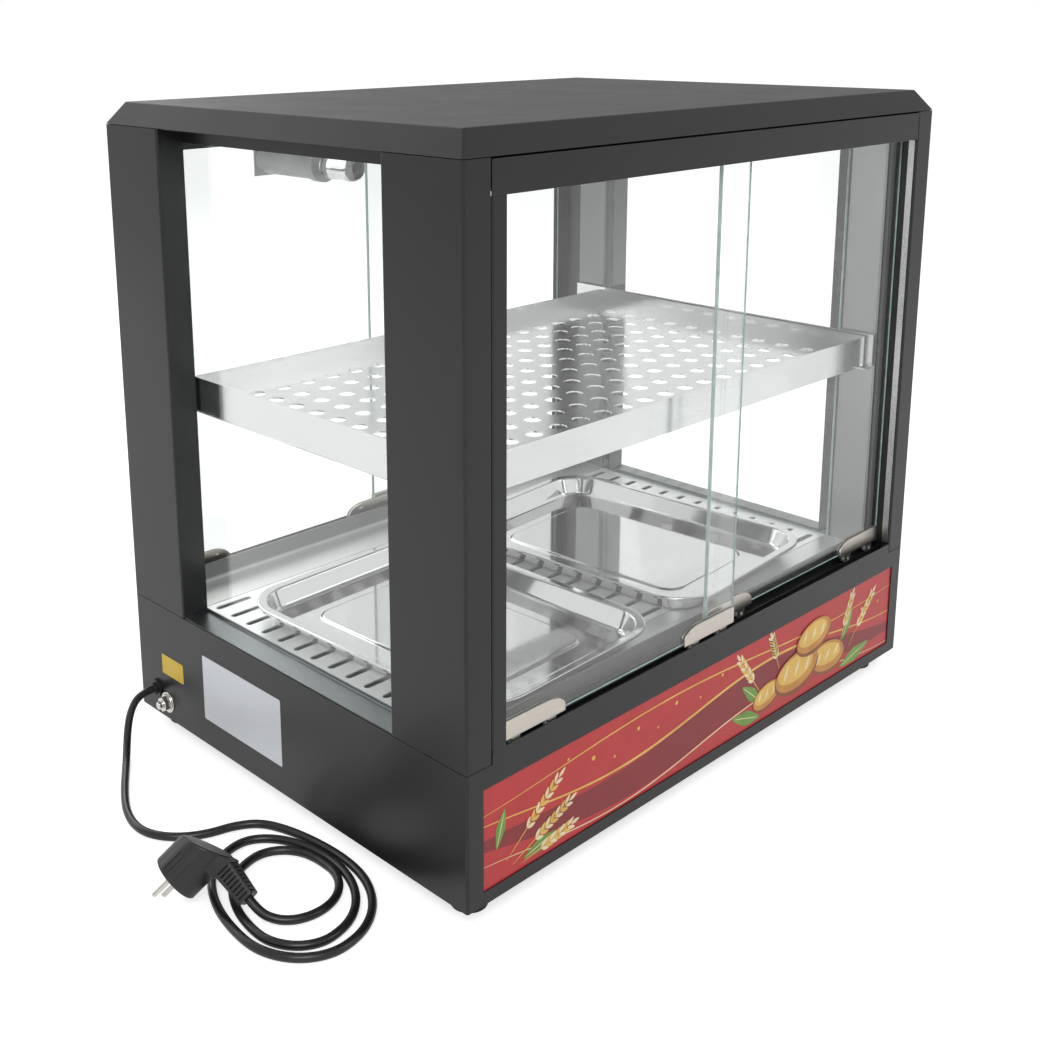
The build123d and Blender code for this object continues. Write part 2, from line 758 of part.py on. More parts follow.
def make_switches():
    pivot = panel_y + switch_bezel - rocker_valley
    room = rocker_radius + rocker_clear
    half_x = rocker_width / 2
    side_x = half_x + rocker_clear
    housings = []
    rise = tan(radians(rocker_tilt)) * switch_height
    far = 2 * rocker_radius
    valley = Polyline(
        (-switch_height, rocker_valley + rise), (0, rocker_valley), (switch_height, rocker_valley + rise),
        (switch_height, far + rise), (-switch_height, far + rise), close=True,
    )
    section = Circle(rocker_radius) - make_face(valley)
    for name, x in zip(("power", "lamp"), switch_places):
        housing = switch_block(x, 0, panel_y, panel_y + switch_bezel)
        housing += switch_block(x, switch_body_edge, panel_y - switch_depth, panel_y)
        well_y = pivot - room, panel_y + switch_bezel
        housing -= block(x - side_x, x + side_x, *well_y, panel_z - room, panel_z + room)
        reach = half_x + rocker_pin_length
        end = reach + slide_gap
        hole = rocker_pin_radius + running_fit
        housing -= rod(hole, (x - end, pivot, panel_z), (x + end, pivot, panel_z))
        housings.append(housing)
        facing = Plane(origin=(x, pivot, panel_z), x_dir=(0, 0, 1), z_dir=(-1, 0, 0))
        rocker = extrude(section, amount=half_x, both=True)
        rocker += Cylinder(rocker_pin_radius, 2 * reach)
        nodes[name + "_rocker"] = facing * Rot(0, 0, rocker_tilt) * rocker
    nodes["switch_housings"] = Compound(children=housings)


def make_pilot():
    lens = Cone(
        pilot_lens_radius, pilot_radius, pilot_lens_height, align=on_base
    )
    lens = fillet(lens.edges().group_by(Axis.Z)[-1], bend / 2)
    stem = Cylinder(pilot_radius, pilot_depth, align=from_top)
    nodes["pilot_lamp"] = Pos(pilot_x, panel_y, panel_z) * Rot(-90, 0, 0) * (lens + stem)


# Mains entry: terminal block on the bottom cover, earth stud and gland through the left wall.
def make_mains():
    x = -half_width + terminal_from_left
    y = half_depth - terminal_from_rear
    z = foot_height + 2 * sheet
    body = Box(terminal_length, terminal_width, terminal_height, align=on_base)
    wells = GridLocations(terminal_length / terminal_ways, terminal_width / 2, terminal_ways, 2)
    well = Cylinder(terminal_screw_radius, terminal_height / 2, align=from_top)
    for place in wells:
        body -= Pos(0, 0, terminal_height) * place * well
    nodes["terminal_block"] = Pos(x, y, z) * body

    outward = Plane(origin=(-half_width, stud_y, stud_height), z_dir=(-1, 0, 0))
    inward = Plane(origin=(-half_width + sheet, stud_y, stud_height), z_dir=(1, 0, 0))
    nut = RegularPolygon(stud_nut_radius, 6)
    stud = extrude(outward * Circle(stud_washer_radius), amount=stud_washer)
    stud += extrude(outward * nut, amount=stud_washer + stud_nut_height)
    stud += extrude(outward * Circle(stud_radius), amount=stud_reach)
    stud += extrude(inward * nut, amount=stud_nut_height)
    stud += extrude(inward * Circle(stud_radius), amount=-sheet)
    nodes["earth_stud"] = stud

    outward = Plane(origin=(-half_width, gland_y, gland_height), z_dir=(-1, 0, 0))
    inward = Plane(origin=(-half_width + sheet, gland_y, gland_height), z_dir=(1, 0, 0))
    gland = extrude(outward * Circle(gland_flange_radius), amount=gland_flange)
    gland += extrude(outward * Circle(gland_nose_radius), amount=gland_reach)
    gland += extrude(inward * RegularPolygon(gland_nut_radius, 6), amount=gland_nut)
    gland += extrude(inward * Circle(gland_nose_radius), amount=-sheet)
    nodes["cable_gland"] = gland


# Mains cord: a lead down to the floor, a loose coil winding inwards, and a tail up to the plug.
def cord_place(out, forward, height):
    return Vector(-half_width - out, gland_y - forward, height)


def cord_tube(places, name):
    runs = [(b - a).length for a, b in zip(places, places[1:])]
    turns = [(b - a).get_angle(c - b) for a, b, c in zip(places, places[1:], places[2:])]
    radii = [0.45 * min(a, b) / tan(radians(turn / 2)) for a, b, turn in zip(runs, runs[1:], turns)]
    print(name, "bend radii", [round(radius, 1) for radius in radii])
    path = FilletPolyline(*places, radius=radii)
    tube = sweep(Plane(origin=places[0], z_dir=path % 0) * Circle(cord_radius), path=path)
    filled = tube.volume / path.length / Circle(cord_radius).area
    print(name, "length", round(path.length, 1), "volume ratio", round(filled, 4))
    return tube


def biarc(start, heading, end, leaving):
    across = end - start
    both = heading + leaving
    spread = 2 * (1 - heading.dot(leaving))
    lean = across.dot(both)
    reach = (sqrt(lean**2 + spread * across.dot(across)) - lean) / spread
    first = start + heading * reach
    last = end - leaving * reach
    middle = (first + last) * 0.5
    return [TangentArc(start, middle, tangent=heading), TangentArc(middle, end, tangent=last - first)]


def coil_gap(path):
    count = 400
    points = [path @ (i / count) for i in range(count + 1)]
    step = path.length / count
    apart = int(4 * cord_diameter / step)
    gaps = [(a - b).length for i, a in enumerate(points) for b in points[i + apart:]]
    return min(gaps) - cord_diameter


def make_cord():
    lead = [cord_place(*place) for place in lead_route]
    nodes["cord_lead"] = cord_tube(lead, "lead")

    heading = (lead[-1] - lead[-2]).normalized()
    place = lead[-1] + heading * cord_diameter
    edges = [Line(lead[-1], place)]
    headings = (Vector(0, -1, 0), Vector(-1, 0, 0), Vector(0, 1, 0), Vector(1, 0, 0))
    for quarter in range(coil_quarters):
        turn, side = divmod(quarter, 4)
        right_forward = coil_right_forward + turn * coil_right_forward_step
        target = (
            (coil_right + turn * coil_right_step, right_forward),
            (coil_front_out, coil_front + turn * coil_front_step),
            (coil_left + turn * coil_left_step, coil_left_forward),
            (coil_rear_out, coil_rear + turn * coil_rear_step),
        )[side]
        target = cord_place(*target, cord_radius)
        edges += biarc(place, heading, target, headings[side])
        place = target
        heading = headings[side]
    end = place + heading * cord_diameter
    edges.append(Line(place, end))
    path = Wire(edges)
    nodes["cord_coil"] = sweep(Plane(origin=lead[-1], z_dir=path % 0) * Circle(cord_radius), path=path)
    print("coil length", round(path.length, 1), "least gap", round(coil_gap(path), 2))

    tail_end = cord_place(*plug_end)
    cable = Vector(*plug_cable).normalized()
    tail = [end, end + heading * tail_straight]
    tail += [cord_place(*place) for place in tail_route]
    tail += [tail_end + cable * tail_straight, tail_end]
    nodes["cord_tail"] = cord_tube(tail, "tail")


# Angled mains plug with a ribbed strain relief and two round pins.
def make_plug():
    cable = Vector(*plug_cable).normalized()
    axis = Vector(*plug_axis).normalized()
    relief_end = plug_relief_root + plug_relief_length
    face = cord_place(*plug_end) - cable * relief_end + axis * plug_relief_axis
    frame = Plane(origin=face, x_dir=cable, z_dir=axis * -1)
    cup = extrude(Circle(plug_radius), amount=plug_cup)
    neck = Pos(plug_neck_reach, 0) * Rectangle(plug_edge, plug_neck_width)
    outline = make_hull(Circle(plug_radius).edges() + neck.edges())
    back = extrude(Plane.XY.offset(plug_cup) * outline, amount=plug_depth - plug_cup)
    body = cup + back
    body = fillet(body.edges().group_by(Axis.Z)[-1], plug_edge)
    for side in (-1, 1):
        y = side * (plug_radius - plug_notch_depth / 2)
        notch = Box(plug_notch_width, plug_notch_depth, plug_notch_height, align=on_base)
        body -= Pos(0, y, 0) * notch
    outline = [(plug_relief_root, 0), (plug_relief_root, plug_relief_radius)]
    pitch = plug_relief_length / plug_relief_ribs
    for rib in range(plug_relief_ribs):
        share = (rib + 0.5) / plug_relief_ribs
        radius = plug_relief_radius + (plug_relief_tip - plug_relief_radius) * share
        x = plug_relief_root + rib * pitch
        groove_x = x + pitch * plug_rib_share
        outline += [(groove_x, radius), (groove_x, radius - plug_relief_groove)]
        outline += [(x + pitch, radius - plug_relief_groove), (x + pitch, radius)]
    outline[-2:] = [(relief_end, outline[-2][1])]
    outline.append((relief_end, 0))
    relief = revolve(make_face(Polyline(*outline, close=True)), axis=Axis.X)
    body += Pos(0, 0, plug_relief_axis) * relief
    nodes["plug_body"] = frame * body
    pin = Cylinder(plug_pin_radius, plug_pin_length, align=from_top)
    pin = chamfer(pin.edges().group_by(Axis.Z)[0], plug_pin_radius / 2)
    pins = [frame * Pos(0, side * plug_pin_spacing / 2, 0) * pin for side in (-1, 1)]
    nodes["plug_pins"] = Compound(children=pins)


make_base()
make_posts()
make_lid()
make_tracks()
make_doors()
make_sides()
make_floor()
make_shelf()
make_pans()
make_lamp()
make_heaters()
make_panel()
make_thermostat()
make_switches()
make_pilot()
make_mains()
make_cord()
make_plug()

os.makedirs("parts", exist_ok=True)
for name, solid in nodes.items():
    export_step(solid, "parts/" + name + ".step")
print(len(nodes), "nodes")
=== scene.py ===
import bpy
import bmesh
from bmesh.types import BMVert, BMEdge, BMFace
from math import radians, sin, cos, pi, copysign
from mathutils import Vector, Matrix


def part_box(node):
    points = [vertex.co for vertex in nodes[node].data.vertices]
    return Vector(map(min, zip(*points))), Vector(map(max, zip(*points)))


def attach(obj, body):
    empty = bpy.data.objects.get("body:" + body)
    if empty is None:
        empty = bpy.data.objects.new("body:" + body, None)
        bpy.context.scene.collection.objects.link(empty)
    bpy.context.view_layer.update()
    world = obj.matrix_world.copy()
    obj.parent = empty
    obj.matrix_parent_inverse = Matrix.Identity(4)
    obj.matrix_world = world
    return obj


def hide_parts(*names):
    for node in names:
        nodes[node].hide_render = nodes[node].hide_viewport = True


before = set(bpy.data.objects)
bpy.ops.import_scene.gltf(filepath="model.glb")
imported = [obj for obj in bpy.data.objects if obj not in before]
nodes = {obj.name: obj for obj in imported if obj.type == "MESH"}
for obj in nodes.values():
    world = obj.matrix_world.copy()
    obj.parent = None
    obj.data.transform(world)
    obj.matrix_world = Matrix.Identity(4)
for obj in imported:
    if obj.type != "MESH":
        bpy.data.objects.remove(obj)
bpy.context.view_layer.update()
print("frame loaded,", len(nodes), "nodes")


# camera and stage

cameraSetup = {
    "place": (-0.97381, -0.90771, 0.70376),
    "yaw": 43.773, "pitch": 13.268, "roll": -0.37,
    "focalPixels": 1355.44, "imagePixels": 1040, "sensor": 36.0,
    "shift": (0.0577, -0.1779), "clip": (0.05, 50),
}


def addCamera(setup):
    yaw, pitch, roll = radians(setup["yaw"]), radians(setup["pitch"]), radians(setup["roll"])
    ahead = Vector((sin(yaw) * cos(pitch), cos(yaw) * cos(pitch), -sin(pitch)))
    right = Vector((cos(yaw), -sin(yaw), 0))
    up = right.cross(ahead)
    right, up = right * cos(roll) + up * sin(roll), up * cos(roll) - right * sin(roll)
    data = bpy.data.cameras.new("camera")
    data.sensor_width = setup["sensor"]
    data.lens = setup["focalPixels"] / setup["imagePixels"] * setup["sensor"]
    data.shift_x, data.shift_y = setup["shift"]
    data.clip_start, data.clip_end = setup["clip"]
    camera = bpy.data.objects.new("camera", data)
    turn = Matrix((right, up, -ahead)).transposed().to_4x4()
    camera.matrix_world = Matrix.Translation(setup["place"]) @ turn
    bpy.context.collection.objects.link(camera)
    bpy.context.scene.camera = camera


addCamera(cameraSetup)
bpy.context.scene.view_settings.view_transform = "Standard"


def addNode(tree, kind, inputs=None, **settings):
    node = tree.nodes.new("ShaderNode" + kind)
    for key, value in settings.items():
        setattr(node, key, value)
    for key, value in (inputs or {}).items():
        if isinstance(value, bpy.types.NodeSocket):
            tree.links.new(value, node.inputs[key])
        else:
            node.inputs[key].default_value = value
    return node


def newFinish(name, color, metallic=0.0, roughness=0.5, gloss=0.5):
    finish = bpy.data.materials.new(name)
    finish.use_nodes = True
    shader = finish.node_tree.nodes["Principled BSDF"]
    shader.inputs["Base Color"].default_value = (*color, 1)
    shader.inputs["Metallic"].default_value = metallic
    shader.inputs["Roughness"].default_value = roughness
    shader.inputs["Specular IOR Level"].default_value = gloss
    return finish, finish.node_tree, shader


def seenWhite(tree, gloss):
    # 1 where the camera or a look through glass meets the backdrop, gloss where a reflection does
    path = addNode(tree, "LightPath").outputs
    mirrored = addNode(tree, "Math", {0: path["Is Glossy Ray"], 1: gloss}, operation="MULTIPLY")
    seen = addNode(tree, "Math", {0: path["Is Camera Ray"], 1: path["Is Transmission Ray"]},
                   operation="MAXIMUM")
    both = addNode(tree, "Math", {0: seen.outputs[0], 1: mirrored.outputs[0]}, operation="MAXIMUM")
    return both.outputs[0]


white = (1, 1, 1, 1)
stageSetup = {
    "worldSeen": 1.0, "worldLight": 0.55, "worldGloss": 0.3,
    "floorSize": 30.0, "floorColor": (0.80, 0.80, 0.80), "floorRough": 0.9, "floorSheen": 0.1,
    "floorGlow": 0.62, "floorGloss": 0.45,
}
lampSetup = {
    # name: place, aimed at, size, watts
    "keyLamp": ((-2.2, -1.9, 2.6), (0, 0, 0.3), 1.8, 48),
    "frontLamp": ((1.6, -2.8, 1.9), (0, 0, 0.3), 1.6, 12),
    "rimLamp": ((-1.6, 2.3, 1.5), (-0.3, 0, 0.5), 1.2, 9),
    "backLamp": ((0.4, 2.8, 2.2), (0, 0, 0.4), 2.0, 24),
}


def addBackdrop(setup):
    world = bpy.data.worlds.new("studio")
    bpy.context.scene.world = world
    world.use_nodes = True
    tree = world.node_tree
    seen = seenWhite(tree, setup["worldGloss"])
    span = addNode(tree, "MapRange", {0: seen, 3: setup["worldLight"], 4: setup["worldSeen"]})
    backdrop = tree.nodes["Background"].inputs
    tree.links.new(span.outputs[0], backdrop["Strength"])
    backdrop["Color"].default_value = white


def addFloor(setup):
    bm = bmesh.new()
    bmesh.ops.create_grid(bm, x_segments=1, y_segments=1, size=setup["floorSize"] / 2)
    mesh = bpy.data.meshes.new("floor")
    bm.to_mesh(mesh)
    bm.free()
    floor = bpy.data.objects.new("floor", mesh)
    bpy.context.collection.objects.link(floor)
    look = {"roughness": setup["floorRough"], "gloss": setup["floorSheen"]}
    finish, tree, shader = newFinish("floorPaper", setup["floorColor"], **look)
    shader.inputs["Emission Color"].default_value = white
    seen = seenWhite(tree, setup["floorGloss"])
    glow = addNode(tree, "Math", {0: seen, 1: setup["floorGlow"]}, operation="MULTIPLY")
    tree.links.new(glow.outputs[0], shader.inputs["Emission Strength"])
    mesh.materials.append(finish)


def addLamps(setup):
    for name, (place, aim, size, watts) in setup.items():
        data = bpy.data.lights.new(name, "AREA")
        data.size = size
        data.energy = watts
        lamp = bpy.data.objects.new(name, data)
        lamp.location = place
        lamp.rotation_euler = (Vector(aim) - Vector(place)).to_track_quat("-Z", "Y").to_euler()
        bpy.context.collection.objects.link(lamp)


addBackdrop(stageSetup)
addFloor(stageSetup)
addLamps(lampSetup)
print("stage ready")


# finishes

even = (1, 1, 1)
noiseSpan = (0.3, 0.7)  # most of a noise lies between these
coatSetup = {"sheen": 0.45, "grain": 1400, "detail": 3, "depth": 0.00003, "strength": 0.4, "cloud": 14}
brushSetup = {"strokes": 2400, "detail": 3, "depth": 0.0000006, "strength": 0.4}
plasticSetup = {"detail": 2, "strength": 0.6, "cloud": 40}


def placeNoise(tree, stretch, scale, detail=2.0):
    # noise on Object coordinates, in metres, stretched for grain
    coords = addNode(tree, "TexCoord")
    stretched = addNode(tree, "Mapping", {"Vector": coords.outputs["Object"], "Scale": stretch})
    noise = addNode(tree, "TexNoise", {"Vector": stretched.outputs[0], "Scale": scale, "Detail": detail})
    return noise.outputs[0]


def varyRoughness(tree, shader, noise, low, high):
    span = addNode(tree, "MapRange", {0: noise, 1: noiseSpan[0], 2: noiseSpan[1], 3: low, 4: high})
    tree.links.new(span.outputs[0], shader.inputs["Roughness"])


def varyColor(tree, shader, noise, dark, light):
    ramp = addNode(tree, "ValToRGB", {0: noise})
    for element, position, color in zip(ramp.color_ramp.elements, noiseSpan, (dark, light)):
        element.position, element.color = position, (*color, 1)
    tree.links.new(ramp.outputs[0], shader.inputs["Base Color"])


def roughen(tree, shader, noise, depth, strength):
    bump = addNode(tree, "Bump", {"Height": noise, "Distance": depth, "Strength": strength})
    tree.links.new(bump.outputs[0], shader.inputs["Normal"])


def powderCoat(name, dark, light, smooth, rough):
    finish, tree, shader = newFinish(name, light, 0.0, rough, coatSetup["sheen"])
    grain = placeNoise(tree, even, coatSetup["grain"], coatSetup["detail"])
    roughen(tree, shader, grain, coatSetup["depth"], coatSetup["strength"])
    cloud = placeNoise(tree, even, coatSetup["cloud"], coatSetup["detail"])
    varyRoughness(tree, shader, cloud, smooth, rough)
    varyColor(tree, shader, cloud, dark, light)
    return finish


def brushedSheet(name, dark, light, smooth, rough, stretch, metallic=1.0):
    finish, tree, shader = newFinish(name, light, metallic, rough)
    strokes = placeNoise(tree, stretch, brushSetup["strokes"], brushSetup["detail"])
    varyRoughness(tree, shader, strokes, smooth, rough)
    varyColor(tree, shader, strokes, dark, light)
    roughen(tree, shader, strokes, brushSetup["depth"], brushSetup["strength"])
    return finish


def mouldedPlastic(name, dark, light, smooth, rough, grain=1800, depth=0.00004):
    finish, tree, shader = newFinish(name, light, 0.0, rough)
    pores = placeNoise(tree, even, grain, plasticSetup["detail"])
    cloud = placeNoise(tree, even, plasticSetup["cloud"], plasticSetup["detail"])
    roughen(tree, shader, pores, depth, plasticSetup["strength"])
    varyRoughness(tree, shader, cloud, smooth, rough)
    varyColor(tree, shader, cloud, dark, light)
    return finish


def clearGlass(name, tint, index=1.5):
    finish, tree, shader = newFinish(name, tint, 0.0, 0.0)
    shader.inputs["Transmission Weight"].default_value = 1.0
    shader.inputs["IOR"].default_value = index
    through = addNode(tree, "BsdfTransparent", {"Color": (*tint, 1)})
    shadow = addNode(tree, "LightPath").outputs["Is Shadow Ray"]
    mix = addNode(tree, "MixShader", {0: shadow, 1: shader.outputs[0], 2: through.outputs[0]})
    tree.links.new(mix.outputs[0], tree.nodes["Material Output"].inputs["Surface"])
    return finish


def groundGlass(name, dark, light, rough, cloud):
    finish, tree, shader = newFinish(name, (Vector(dark) + Vector(light)) / 2, 0.0, rough)
    varyColor(tree, shader, placeNoise(tree, even, cloud), dark, light)
    return finish


def paintedShadeBeyond(finish, axis, level, share, fade=0.003):
    # painted shade: the sheet's colour times share beyond a level on one axis, standing in for shade and dark
    # reflections there
    tree = finish.node_tree
    color = tree.nodes["Principled BSDF"].inputs["Base Color"]
    coords = addNode(tree, "TexCoord")
    axes = addNode(tree, "SeparateXYZ", {0: coords.outputs["Object"]})
    shade = addNode(tree, "MapRange", {0: axes.outputs[axis], 1: level, 2: level + fade, 3: 1.0, 4: share})
    plain = color.links[0].from_socket
    toned = addNode(tree, "VectorMath", {0: plain, "Scale": shade.outputs[0]}, operation="SCALE")
    tree.links.new(toned.outputs[0], color)


coatColors = ((0.0085, 0.0086, 0.0096), (0.0102, 0.0103, 0.0114))
finishSetup = {
    # dark and light colour, smooth and rough end of the roughness, and then
    # a sheet's stretch and share of metal, or a plastic's grain and depth
    "blackCoat": (powderCoat, *coatColors, 0.30, 0.34),
    "lidCoat": (powderCoat, *coatColors, 0.47, 0.52),
    "sheetSteel": (brushedSheet, (0.56, 0.56, 0.555), (0.62, 0.62, 0.615), 0.24, 0.32, (0.012, 1, 1)),
    "floorSteel": (brushedSheet, (0.92, 0.92, 0.915), (0.95, 0.95, 0.945), 0.40, 0.46, (0.02, 1, 1), 0.6),
    "sillSteel": (brushedSheet, (0.72, 0.72, 0.715), (0.76, 0.76, 0.755), 0.36, 0.42, (0.02, 1, 1), 0.8),
    "zincSheet": (brushedSheet, (0.21, 0.225, 0.23), (0.26, 0.275, 0.28), 0.30, 0.38, (1, 0.02, 1)),
    "linerSheet": (brushedSheet, (0.06, 0.06, 0.062), (0.09, 0.09, 0.092), 0.42, 0.5, (1, 0.02, 1)),
    "postSteel": (brushedSheet, (0.36, 0.36, 0.365), (0.42, 0.42, 0.425), 0.30, 0.38, (1, 1, 0.012)),
    "panSteel": (brushedSheet, (0.60, 0.60, 0.595), (0.66, 0.66, 0.655), 0.04, 0.08, (1, 0.03, 1)),
    "shelfSteel": (brushedSheet, (0.57, 0.57, 0.57), (0.64, 0.64, 0.64), 0.13, 0.2, (0.015, 1, 1)),
    "clipSteel": (brushedSheet, (0.60, 0.56, 0.50), (0.68, 0.64, 0.58), 0.28, 0.38, (0.03, 1, 1)),
    "nickel": (brushedSheet, (0.66, 0.64, 0.60), (0.73, 0.71, 0.67), 0.14, 0.22, even),
    "rollerPlastic": (mouldedPlastic, (0.50, 0.56, 0.54), (0.60, 0.66, 0.64), 0.3, 0.45),
    "darkPlastic": (mouldedPlastic, (0.012, 0.012, 0.013), (0.02, 0.02, 0.021), 0.32, 0.46),
    "footRubber": (mouldedPlastic, (0.014, 0.014, 0.014), (0.022, 0.022, 0.022), 0.6, 0.75),
    "holderGrey": (mouldedPlastic, (0.36, 0.37, 0.37), (0.46, 0.47, 0.47), 0.4, 0.55),
    "amberLens": (mouldedPlastic, (0.62, 0.20, 0.012), (0.72, 0.27, 0.02), 0.12, 0.2, 600, 0.000002),
    "paneGlass": (clearGlass, (0.975, 0.992, 0.985)),
    "bulbGlass": (clearGlass, (0.985, 0.985, 0.985)),
    "paneEdge": (groundGlass, (0.22, 0.33, 0.31), (0.38, 0.49, 0.47), 0.12, 90),
    "bannerFilm": (mouldedPlastic, (0.48, 0.024, 0.027), (0.53, 0.031, 0.033), 0.3, 0.34, 300, 0.000002),
    "labelFoil": (brushedSheet, (0.58, 0.60, 0.63), (0.64, 0.66, 0.69), 0.34, 0.42, (1, 0.02, 1)),
    "labelYellow": (mouldedPlastic, (0.60, 0.40, 0.025), (0.68, 0.47, 0.035), 0.36, 0.44, 700, 0.000004),
    "markWhite": (mouldedPlastic, (0.70, 0.70, 0.69), (0.78, 0.78, 0.77), 0.45, 0.55, 900, 0.000004),
    "cordSheath": (mouldedPlastic, (0.010, 0.010, 0.011), (0.016, 0.016, 0.017), 0.24, 0.34, 900, 0.00003),
}
inkSetup = {"smooth": 0.3, "rough": 0.36, "grain": 500, "depth": 0.000002}
inkColors = {
    "winePrint": ((0.22, 0.012, 0.018), (0.26, 0.016, 0.022)),
    "brownPrint": ((0.20, 0.055, 0.012), (0.30, 0.09, 0.02)),
    "crustPrint": ((0.50, 0.20, 0.03), (0.66, 0.31, 0.055)),
    "goldPrint": ((0.72, 0.43, 0.07), (0.82, 0.55, 0.13)),
    "creamPrint": ((0.80, 0.66, 0.38), (0.88, 0.77, 0.52)),
    "leafPrint": ((0.10, 0.24, 0.03), (0.20, 0.40, 0.06)),
}
# painted shade: the sill plates darker above their lower part, and the rear post liners darker than the front
# ones
paintedShadeSetup = {"sillSteel": ("Z", 0.140, 0.4), "postSteel": ("Y", 0.15, 0.5)}
finishes = {name: make(name, *values) for name, (make, *values) in finishSetup.items()}
for name, (dark, light) in inkColors.items():
    finishes[name] = mouldedPlastic(name, dark, light, **inkSetup)
for name, values in paintedShadeSetup.items():
    paintedShadeBeyond(finishes[name], *values)

# a door's body, and what the names of its pieces begin with
doors = {
    "front_outer_door": "frontOuter", "front_inner_door": "frontInner",
    "rear_outer_door": "rearOuter", "rear_inner_door": "rearInner",
}
nodeFinishes = {
    "blackCoat": ["base_shell", "bottom_cover", "post_front_left", "post_front_right", "post_rear_left",
                  "post_rear_right", "bottom_tracks", "jamb_strips", "side_soffits", "control_panel"],
    "lidCoat": ["top_lid"],
    "sheetSteel": ["ceiling_panel", "heat_shield"],
    "linerSheet": ["floor_liner"],
    "sillSteel": ["sill_plates"],
    "zincSheet": ["side_glass_retainers"],
    "postSteel": ["post_liners"],
    "shelfSteel": ["shelf_frame", "shelf_rails"],
    "rollerPlastic": [door + "_rollers" for door in doors],
    "nickel": ["panel_screws", "plug_pins", "thermostat_spindle", "heating_elements"],
    "darkPlastic": ["thermostat_knob", "power_rocker", "lamp_rocker", "switch_housings", "cable_gland"],
    "footRubber": ["feet"],
    "holderGrey": ["lamp_holder", "terminal_block", "thermostat_body"],
    "amberLens": ["pilot_lamp"],
    "bannerFilm": ["banner_panel"],
    "bulbGlass": ["lamp_bulb"],
}
for look, names in nodeFinishes.items():
    for name in names:
        for place in nodes[name].material_slots:
            place.material = finishes[look]
print("finishes on the frame")


# pieces

perMetre = 1000  # millimetres
levelWithin, touchWithin = 0.00001, 0.0002  # differences that count as none
smallSteps = 2  # of a small rounded edge
facings = {
    "left": Matrix(((0, 0, -1), (-1, 0, 0), (0, 1, 0))),
    "right": Matrix(((0, 0, 1), (1, 0, 0), (0, 1, 0))),
    "rear": Matrix(((-1, 0, 0), (0, 0, 1), (0, 1, 0))),
    "front": Matrix(((1, 0, 0), (0, 0, -1), (0, 1, 0))),
}


def placePiece(name, data, body, slot, *replaced):
    piece = bpy.data.objects.new(name, data)
    bpy.context.collection.objects.link(piece)
    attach(piece, body)
    if replaced:
        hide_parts(*replaced)
    return piece


def addPiece(name, bm, body, looks, slot, *replaced, smooth=False):
    mesh = bpy.data.meshes.new(name)
    bm.to_mesh(mesh)
    bm.free()
    for look in looks:
        mesh.materials.append(finishes[look])
    if smooth:
        mesh.shade_smooth()
    return placePiece(name, mesh, body, slot, *replaced)


def only(geom, kind):
    return [item for item in geom if isinstance(item, kind)]


def wholeOf(bm):
    return bm.verts[:] + bm.edges[:] + bm.faces[:]


def turned(angle, axis="Z"):
    return Matrix.Rotation(radians(angle), 3, axis)


def turnAndPlace(bm, verts, turn, place=(0, 0, 0)):
    bmesh.ops.rotate(bm, cent=(0, 0, 0), matrix=turn, verts=verts)
    bmesh.ops.translate(bm, vec=place, verts=verts)


def roundOff(bm, geom, offset, steps, kind="EDGES"):
    return bmesh.ops.bevel(bm, geom=geom, offset=offset, affect=kind, segments=steps, profile=0.5, material=-1)


def faceOutward(bm):
    bmesh.ops.recalc_face_normals(bm, faces=bm.faces[:])


def boxBetween(bm, low, high):
    made = bmesh.ops.create_cube(bm, size=1.0)["verts"]
    low, high = Vector(low), Vector(high)
    bmesh.ops.scale(bm, vec=high - low, verts=made)
    bmesh.ops.translate(bm, vec=(low + high) / 2, verts=made)
    return made


def roundedBox(bm, low, high, edge):
    made = boxBetween(bm, low, high)
    edges = [item for item in bm.edges if item.verts[0] in made and item.verts[1] in made]
    return roundOff(bm, edges, edge, smallSteps)["verts"]


def rodFrom(bm, low, height, radius, sides):
    made = bmesh.ops.create_cone(bm, cap_ends=True, segments=sides, radius1=radius, radius2=radius,
                                 depth=height)["verts"]
    bmesh.ops.translate(bm, vec=(0, 0, low + height / 2), verts=made)
    return made


def flatSheet(bm, width, height):
    made = bmesh.ops.create_grid(bm, x_segments=1, y_segments=1, size=0.5)["verts"]
    bmesh.ops.scale(bm, vec=(width, height, 1), verts=made)
    return made


def raiseSheet(bm, before, thickness, edge, edgeSteps):
    # a plate from the flat face made since before, with its upper edge rounded
    flat = [face for face in bm.faces if not before.intersection(face.verts)]
    top = only(bmesh.ops.extrude_face_region(bm, geom=flat)["geom"], BMFace)[0]
    bmesh.ops.translate(bm, vec=(0, 0, thickness), verts=top.verts[:])
    roundOff(bm, top.edges[:], edge, edgeSteps)
    return [vert for vert in bm.verts if vert not in before]


def roundedPlate(bm, width, height, corner, thickness, edge, steps=4):
    before = set(bm.verts)
    roundOff(bm, flatSheet(bm, width, height), corner, steps, "VERTICES")
    return raiseSheet(bm, before, thickness, edge, smallSteps)


def thicken(bm, thickness, upper):
    # normals up where the upper face lies, then the sheet's thickness below
    faceOutward(bm)
    if upper.normal.z < 0:
        bmesh.ops.reverse_faces(bm, faces=bm.faces[:])
    bmesh.ops.solidify(bm, geom=bm.faces[:], thickness=thickness)


# mains cord: lead, coil and tail on one spline

